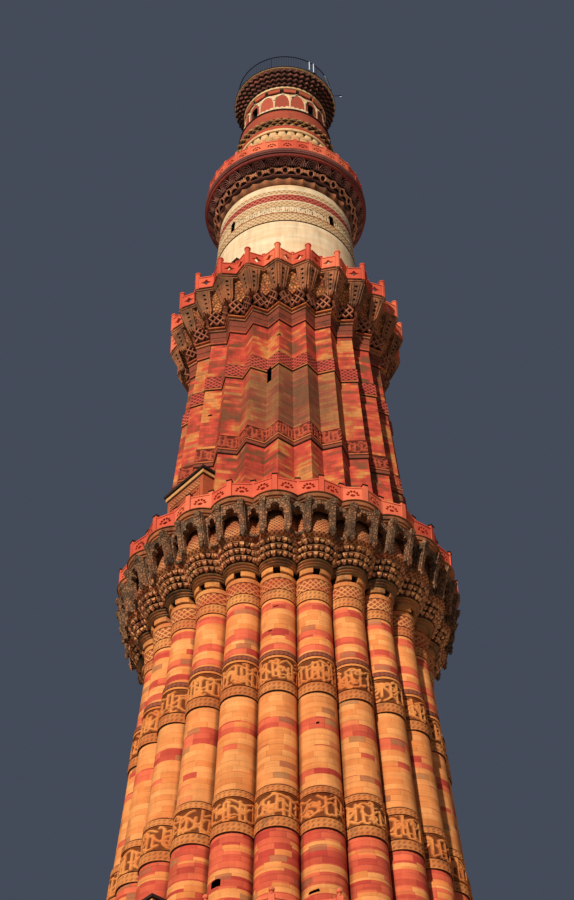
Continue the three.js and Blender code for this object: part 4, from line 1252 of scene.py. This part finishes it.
fifth_pieces = [
    core,
    turned_ring("scale_shadow", corbel_dark, 0.1, (66.3, 1.835), (67.97, 1.825)),
    turned_ring("white_roll", cream, 0.15, (67.97, 1.84), (67.99, 1.87), (68.12, 1.87), (68.14, 1.84)),
    turned_ring("red_fillet", salmon, 0.15, (68.14, 1.86), (68.17, 1.885), (68.25, 1.89)),
    turned_ring("zigzag_lower", zigzag_stone, 0.25, (68.26, 1.86), (68.30, 1.91), (68.37, 1.93), (68.38, 1.91),
                depth=0.09, zigzag=0.0, **TEETH),
    turned_ring("zigzag_gap_1", corbel_dark, 0.2, (68.37, 1.85), (68.42, 1.90)),
    turned_ring("zigzag_middle", corbel_brown, 0.25, (68.41, 1.88), (68.43, 1.95), (68.49, 1.97), (68.50, 1.95),
                depth=0.10, zigzag=0.5, **TEETH),
    turned_ring("zigzag_gap_2", corbel_dark, 0.2, (68.49, 1.88), (68.54, 1.93)),
    turned_ring("zigzag_teeth", zigzag_stone, 0.25, (68.53, 1.93), (68.55, 1.99), (68.62, 2.0), (68.80, 1.86),
                depth=0.07, zigzag=0.0, **TEETH),
    turned_ring("red_belt", drum_red, 0.15, (68.80, 1.84), (69.36, 1.82)),
    turned_ring("drum_shelf", band_line, 0.3, (69.36, 1.84), (69.38, 1.85), (69.44, 1.85), (69.47, 1.80)),
    turned_ring("white_ring", cream, 0.15, (71.07, 1.63), (71.09, 1.66), (71.16, 1.67), (71.2, 1.66)),
    turned_ring("dentil_back", corbel_dark, 0.1, (70.83, 1.58), (71.06, 1.60)),
]


def scale(width, low, high, pointed):
    """One hanging scale, rounded at its top or with its corners cut, bellied in front."""
    half, reach = width / 2, width / 2 * 1.05
    outline = [(-half, low), (half, low)]
    if pointed:
        outline += [(half, high - 0.14), (half - 0.055, high), (0.055 - half, high), (-half, high - 0.14)]
    else:
        outline += [(half * math.cos(t), high - reach + reach * math.sin(t))
                    for t in np.linspace(0.1, math.pi - 0.1, 7)]
    middle = low + (high - low) * 0.45
    corners = [(x, y, 0.0) for x, y in outline]
    corners += [(x * 0.72, middle + (y - middle) * 0.72, 0.06) for x, y in outline]
    return corners + [(0.0, middle, 0.07)], peaked_faces(len(outline))


SCALES = 32
SCALE_ROWS = [(66.32, 66.78, 1.85), (66.64, 67.10, 1.845), (66.96, 67.42, 1.84), (67.28, 67.74, 1.835),
              (67.58, 67.97, 1.80)]
step = math.tau * 1.86 / SCALES
for row, (low, high, radius) in enumerate(SCALE_ROWS):
    pointed, placing = row == 4, (SCALES, row % 2 * 180 / SCALES, 50.0)
    shape = stood_up(scale(step * 0.97, low, high, pointed), radius)
    fifth_pieces.append(copies_round(f"scales_{row + 1}", cream if pointed else golden, 71 + row, [shape], *placing))
    if not pointed:
        edge = stood_up(scale(step * 0.995, low, high + 0.04, pointed), radius - 0.035)
        fifth_pieces.append(copies_round(f"scale_edges_{row + 1}", corbel_dark, 1, [edge], *placing))


def mirrored(points):
    """A line of points from the right up to the middle, and on down the left."""
    return points + [(-x, y) for x, y in points[-2::-1]]


ARCHES = 16
DRUM_FACE = 1.565
arch_half = math.tau * 1.6 / ARCHES / 2
panel_outline = mirrored([(0.285, 69.86), (0.29, 70.0), (0.285, 70.22), (0.245, 70.42), (0.175, 70.58), (0.09, 70.67),
                          (0, 70.70)])
panel_outline += [(-0.19, 69.92), (-0.095, 69.85), (0.0, 69.92), (0.095, 69.85), (0.19, 69.92)]
frame_outline = [(-arch_half, 69.50), (arch_half, 69.50), (arch_half, 70.50)]
frame_outline += [(arch_half * math.cos(t), 70.50 + 0.27 * math.sin(t)) for t in np.linspace(0.25, math.pi - 0.25, 9)]
frame_outline.append((-arch_half, 70.50))
lip = mirrored([(0.300, 70.34), (0.26, 70.50), (0.19, 70.63), (0.10, 70.725), (0.0, 70.755)])
frame_parts = [pierced_plate(frame_outline, [panel_outline], 0.045)]
frame_parts += [bar(start, end, 0.028, 0.075) for start, end in zip(lip, lip[1:])]
for name, stone, seed, parts in (("red_panels", drum_red, 76, [pierced_plate(panel_outline[::-1], [], 0.03)]),
                                 ("white_arches", marble_relief, 77, frame_parts)):
    made = copies_round(name, stone, seed, [stood_up(part, DRUM_FACE) for part in parts], ARCHES)
    cut_openings(made, 5)
    fifth_pieces.append(made)
dentil = stood_up(slab(0, arch_half - 0.07, 70.85, 71.03, 0, 0.055), 1.585, 180 / ARCHES)
fifth_pieces.append(copies_round("dentil_bars", drum_red, 78, [dentil], ARCHES))
settle("marble", wall_nodes(5), *fifth_pieces)

# DOOR SURROUNDS
# Built out round the first four doorways, on the plinth and the balcony floors: red jambs and head
# with fillets, a trellised panel where there is room, a cream moulding, and a dark roof slab that juts out.
surround_red = carved_stone("surround stone", (0.56, 0.13, 0.055), (0.42, 0.10, 0.05), (0.20, 0.07, 0.04), 0.56)
surround_cream = carved_stone("cream moulding", (0.86, 0.52, 0.22), (0.70, 0.36, 0.13), (0.30, 0.18, 0.08), 0.60)
surround_dark = carved_stone("dark roof slab", (0.06, 0.035, 0.028), (0.04, 0.025, 0.02), (0.02, 0.015, 0.012))
# Width and height of each surround, and how far its front and its back are from the axis
SURROUNDS = {1: (3.4, 4.2, 7.12, 6.4), 2: (2.0, 2.06, 5.6, 4.8), 3: (2.0, 2.9, 4.4, 3.8), 4: (1.4, 2.12, 2.95, 2.5)}


def surround(storey, width, tall, front, near):
    """The stonework built out round one doorway."""
    floor, (door_width, spring, rise) = FLOORS[storey], DOORS[storey]
    half, roof, face, crown = width / 2, floor + tall - 0.12, front - 0.1, floor + spring + rise
    body, jamb = half - 0.1, door_width / 2

    def roof_course(inset, low, high):
        """A slab right across at heights counted from the roof line, set in from the sides and the front."""
        return stood_up(slab(0, half - inset, roof + low, roof + high, near, front - inset))

    head = arch_outline(floor, *DOORS[storey])[2:][::-1]
    outline = [(-body, floor), (-jamb, floor)] + head + [(jamb, floor), (body, floor), (body, roof), (-body, roof)]
    back, fillets = stood_up(pierced_plate(outline, [], face - near), near), []
    for k in (1, 2):
        x, top = jamb + k * min(0.12, (body - jamb) / 3), crown + 0.06 * k
        fillets += [slab(side * x, 0.02, floor, top, face, face + 0.03) for side in (-1, 1)]
        fillets.append(slab(0, x + 0.02, top, top + 0.04, face, face + 0.03))
    groups = [
        ("body", surround_red, [back] + [stood_up(fillet) for fillet in fillets]),
        ("moulding", surround_cream, [roof_course(0.05, -0.13, 0.0)]),
        # The two thin courses set in above and below the cream moulding are dark as painted shade.
        ("roof", surround_dark, [roof_course(0.0, 0.03, 0.12), roof_course(0.09, -0.17, -0.13),
                                 roof_course(0.07, 0.0, 0.03)])]
    if roof - 0.2 - crown > 0.35:
        panel = stood_up(slab(0, body - 0.15, crown + 0.24, roof - 0.24, face, face + 0.02))
        groups.append(("panel", niche_back, [panel]))
    for part, stone, shapes in groups:
        settle("banded_sandstone", [f"storey_{storey}_door_surround"],
               mesh_object(f"surround_{storey}_{part}", *joined(shapes), stone))


for storey, sizes in SURROUNDS.items():
    surround(storey, *sizes)

# TOP PLATFORM, STUMP AND RAILING
# Four wavy tiers of dark brown stone carry the flat top, which has a thin cream line under its edge.
# The railing is black iron: a rail on thin balusters, fixed to six slightly thicker posts. Three pale lamp
# tubes are fixed outside it on brackets.
tier_stone = carved_stone("wavy tier stone", (0.38, 0.105, 0.078), (0.20, 0.080, 0.065), (0.07, 0.04, 0.035), 0.48, 2.2)
TIERS = [(71.20, 71.38, 1.70, 1.78), (71.38, 71.56, 1.80, 1.88), (71.56, 71.76, 1.90, 1.98), (71.76, 71.94, 1.99, 2.05)]
WAVES = dict(samples=384, waves=48, depth=0.085, smooth=20.0, zigzag=0.0)
for number, (low, high, inner, outer) in enumerate(TIERS):
    tier = turned_ring(f"wavy_tier_{number + 1}", tier_stone, 0.5, (low, inner), (low + 0.05, outer - 0.01),
                       (high - 0.06, outer), (high - 0.01, outer - 0.03), **WAVES)
    # Each tier has a near-black ring under it as painted shade.
    gap = turned_ring(f"tier_gap_{number + 1}", corbel_dark, 0.3, (low - 0.035, inner - 0.03),
                      (low - 0.005, inner + 0.035), (low + 0.025, inner + 0.06), **WAVES)
    settle("brown_sandstone", ["top_platform"], tier, gap)
settle("brown_sandstone", ["top_platform"],
       turned_ring("cream_line", cream, 0.5, (71.95, 2.035), (71.955, 2.055), (71.97, 2.06)))
round_slab("platform_slab", corbel_dark, "top_platform", (71.2, 1.5), (71.93, 1.9), (71.97, 1.95), (71.972, 2.07),
           (72.02, 2.07))
dress("cupola_stump", corbel_brown)
iron_finish = Stone("black railing iron", 0.45, (0.012, 0.012, 0.016))
iron_finish.surface["Metallic"].default_value = 0.3
iron = iron_finish.material
pale_tube = Stone("pale painted tube", 0.4, (0.75, 0.80, 0.86)).material
RAIL_RADIUS, RAIL_TOP, PLATFORM_TOP = 1.9, 72.93, 72.02


def tube(start, end, radius):
    """A closed six-sided tube between two points given as (azimuth in degrees, distance from the axis, height)."""
    a, b = (np.array([*turned(out, 0.0, math.radians(azimuth)), height]) for azimuth, out, height in (start, end))
    way = (b - a) / np.linalg.norm(b - a)
    side = np.cross(way, (0.3, 0.5, 0.81))
    side /= np.linalg.norm(side)
    other = np.cross(way, side)
    turns = np.arange(6) * math.tau / 6
    corners = [p + radius * (side * math.cos(t) + other * math.sin(t)) for p in (a, b) for t in turns]
    return np.array(corners), drum_faces(2, 6)


for name, radius, sides, copies, first, seed in (
        ("balusters", 0.005, 4, 120, 0.0, 81), ("railing_posts", 0.016, 6, 6, 32.6, 82)):
    upright = stood_up(lathe([(radius, PLATFORM_TOP), (radius, RAIL_TOP)], sides), RAIL_RADIUS)
    settle("black_iron", ["top_railing"], copies_round(name, iron, seed, [upright], copies, first))
for name, height, half in (("top_rail", RAIL_TOP, 0.016), ("foot_rail", PLATFORM_TOP + 0.1, 0.01)):
    rail = turned_ring(name, iron, half, (height - half, RAIL_RADIUS), (height, RAIL_RADIUS + half),
                       (height + half, RAIL_RADIUS), smooth=80.0)
    settle("black_iron", ["top_railing"], rail)
LAMP_TUBES = [((80.5, 1.93, 72.36), (80.5, 1.93, 72.90), 0.018), ((86.6, 1.93, 72.34), (86.6, 1.93, 72.92), 0.018),
              ((123.0, 1.96, 72.46), (106.0, 1.96, 72.74), 0.024)]
LAMP_BRACKETS = [((83.0, 1.9, 72.10), (88.0, 1.96, 72.26), 0.05), ((122.0, 2.0, 72.02), (127.4, 2.35, 72.20), 0.014),
                 ((127.2, 2.30, 72.18), (127.4, 2.36, 72.20), 0.035),
                 ((119.0, 1.93, 72.20), (122.0, 1.98, 72.45), 0.04)]
for name, stone, tubes in (("lamp_tubes", pale_tube, LAMP_TUBES), ("lamp_brackets", iron, LAMP_BRACKETS)):
    lamps = mesh_object(name, *joined([tube(*given) for given in tubes]), stone, 40.0)
    settle("black_iron", ["top_railing"], lamps)

# FLOOR, LIGHT AND CAMERA
# The camera stands on the ground close to the tower and looks up, as in the photograph.
FLOOR_HALF = 120.0
floor_mesh = bpy.data.meshes.new("studio_floor")
floor_mesh.from_pydata([(x * FLOOR_HALF, y * FLOOR_HALF, 0) for x, y in ((-1, -1), (1, -1), (1, 1), (-1, 1))], [],
                       [[0, 1, 2, 3]])
studio_floor = bpy.data.objects.new("studio_floor", floor_mesh)
bpy.context.scene.collection.objects.link(studio_floor)
floor_mesh.materials.append(Stone("pale studio floor", 0.9, (0.36, 0.32, 0.28)).material)

VIEW_AZIMUTH = math.radians(49.0)
PITCH_UP = math.radians(44.92)
ROLL = math.radians(-0.36)
STAND_OFF = 50.72 * METRE
EYE_HEIGHT = 1.6 * METRE
SENSOR = 36.0
FOCAL_PIXELS = 2083.7
FRAME_PIXELS = 900
camera_data = bpy.data.cameras.new("camera")
camera_data.sensor_fit = "AUTO"
camera_data.sensor_width = SENSOR
camera_data.lens = SENSOR * FOCAL_PIXELS / FRAME_PIXELS
camera_data.clip_end = 400.0
camera = bpy.data.objects.new("camera", camera_data)
camera.location = (STAND_OFF * math.sin(VIEW_AZIMUTH), -STAND_OFF * math.cos(VIEW_AZIMUTH), EYE_HEIGHT)
camera.rotation_euler = (math.radians(90) + PITCH_UP, 0.0, VIEW_AZIMUTH)
camera.rotation_euler = (camera.rotation_euler.to_matrix() @ Matrix.Rotation(ROLL, 3, "Z")).to_euler()
bpy.context.scene.collection.objects.link(camera)
bpy.context.scene.camera = camera

world = bpy.data.worlds.new("studio")
world.use_nodes = True
world.node_tree.nodes["Background"].inputs["Color"].default_value = (0.58, 0.70, 1.0, 1)
world.node_tree.nodes["Background"].inputs["Strength"].default_value = 0.10
bpy.context.scene.world = world
bpy.context.scene.view_settings.view_transform = "Standard"
for name, energy, colour, tilt, turn in (
        ("key", 4.6, (1.0, 0.92, 0.80), 59, -23), ("back_fill", 1.4, (0.85, 0.92, 1.0), 50, 172)):
    light_data = bpy.data.lights.new(name, "SUN")
    light_data.energy = energy
    light_data.angle = math.radians(2)
    light_data.color = colour
    light = bpy.data.objects.new(name, light_data)
    light.rotation_euler = (math.radians(tilt), 0, VIEW_AZIMUTH + math.radians(turn))
    bpy.context.scene.collection.objects.link(light)
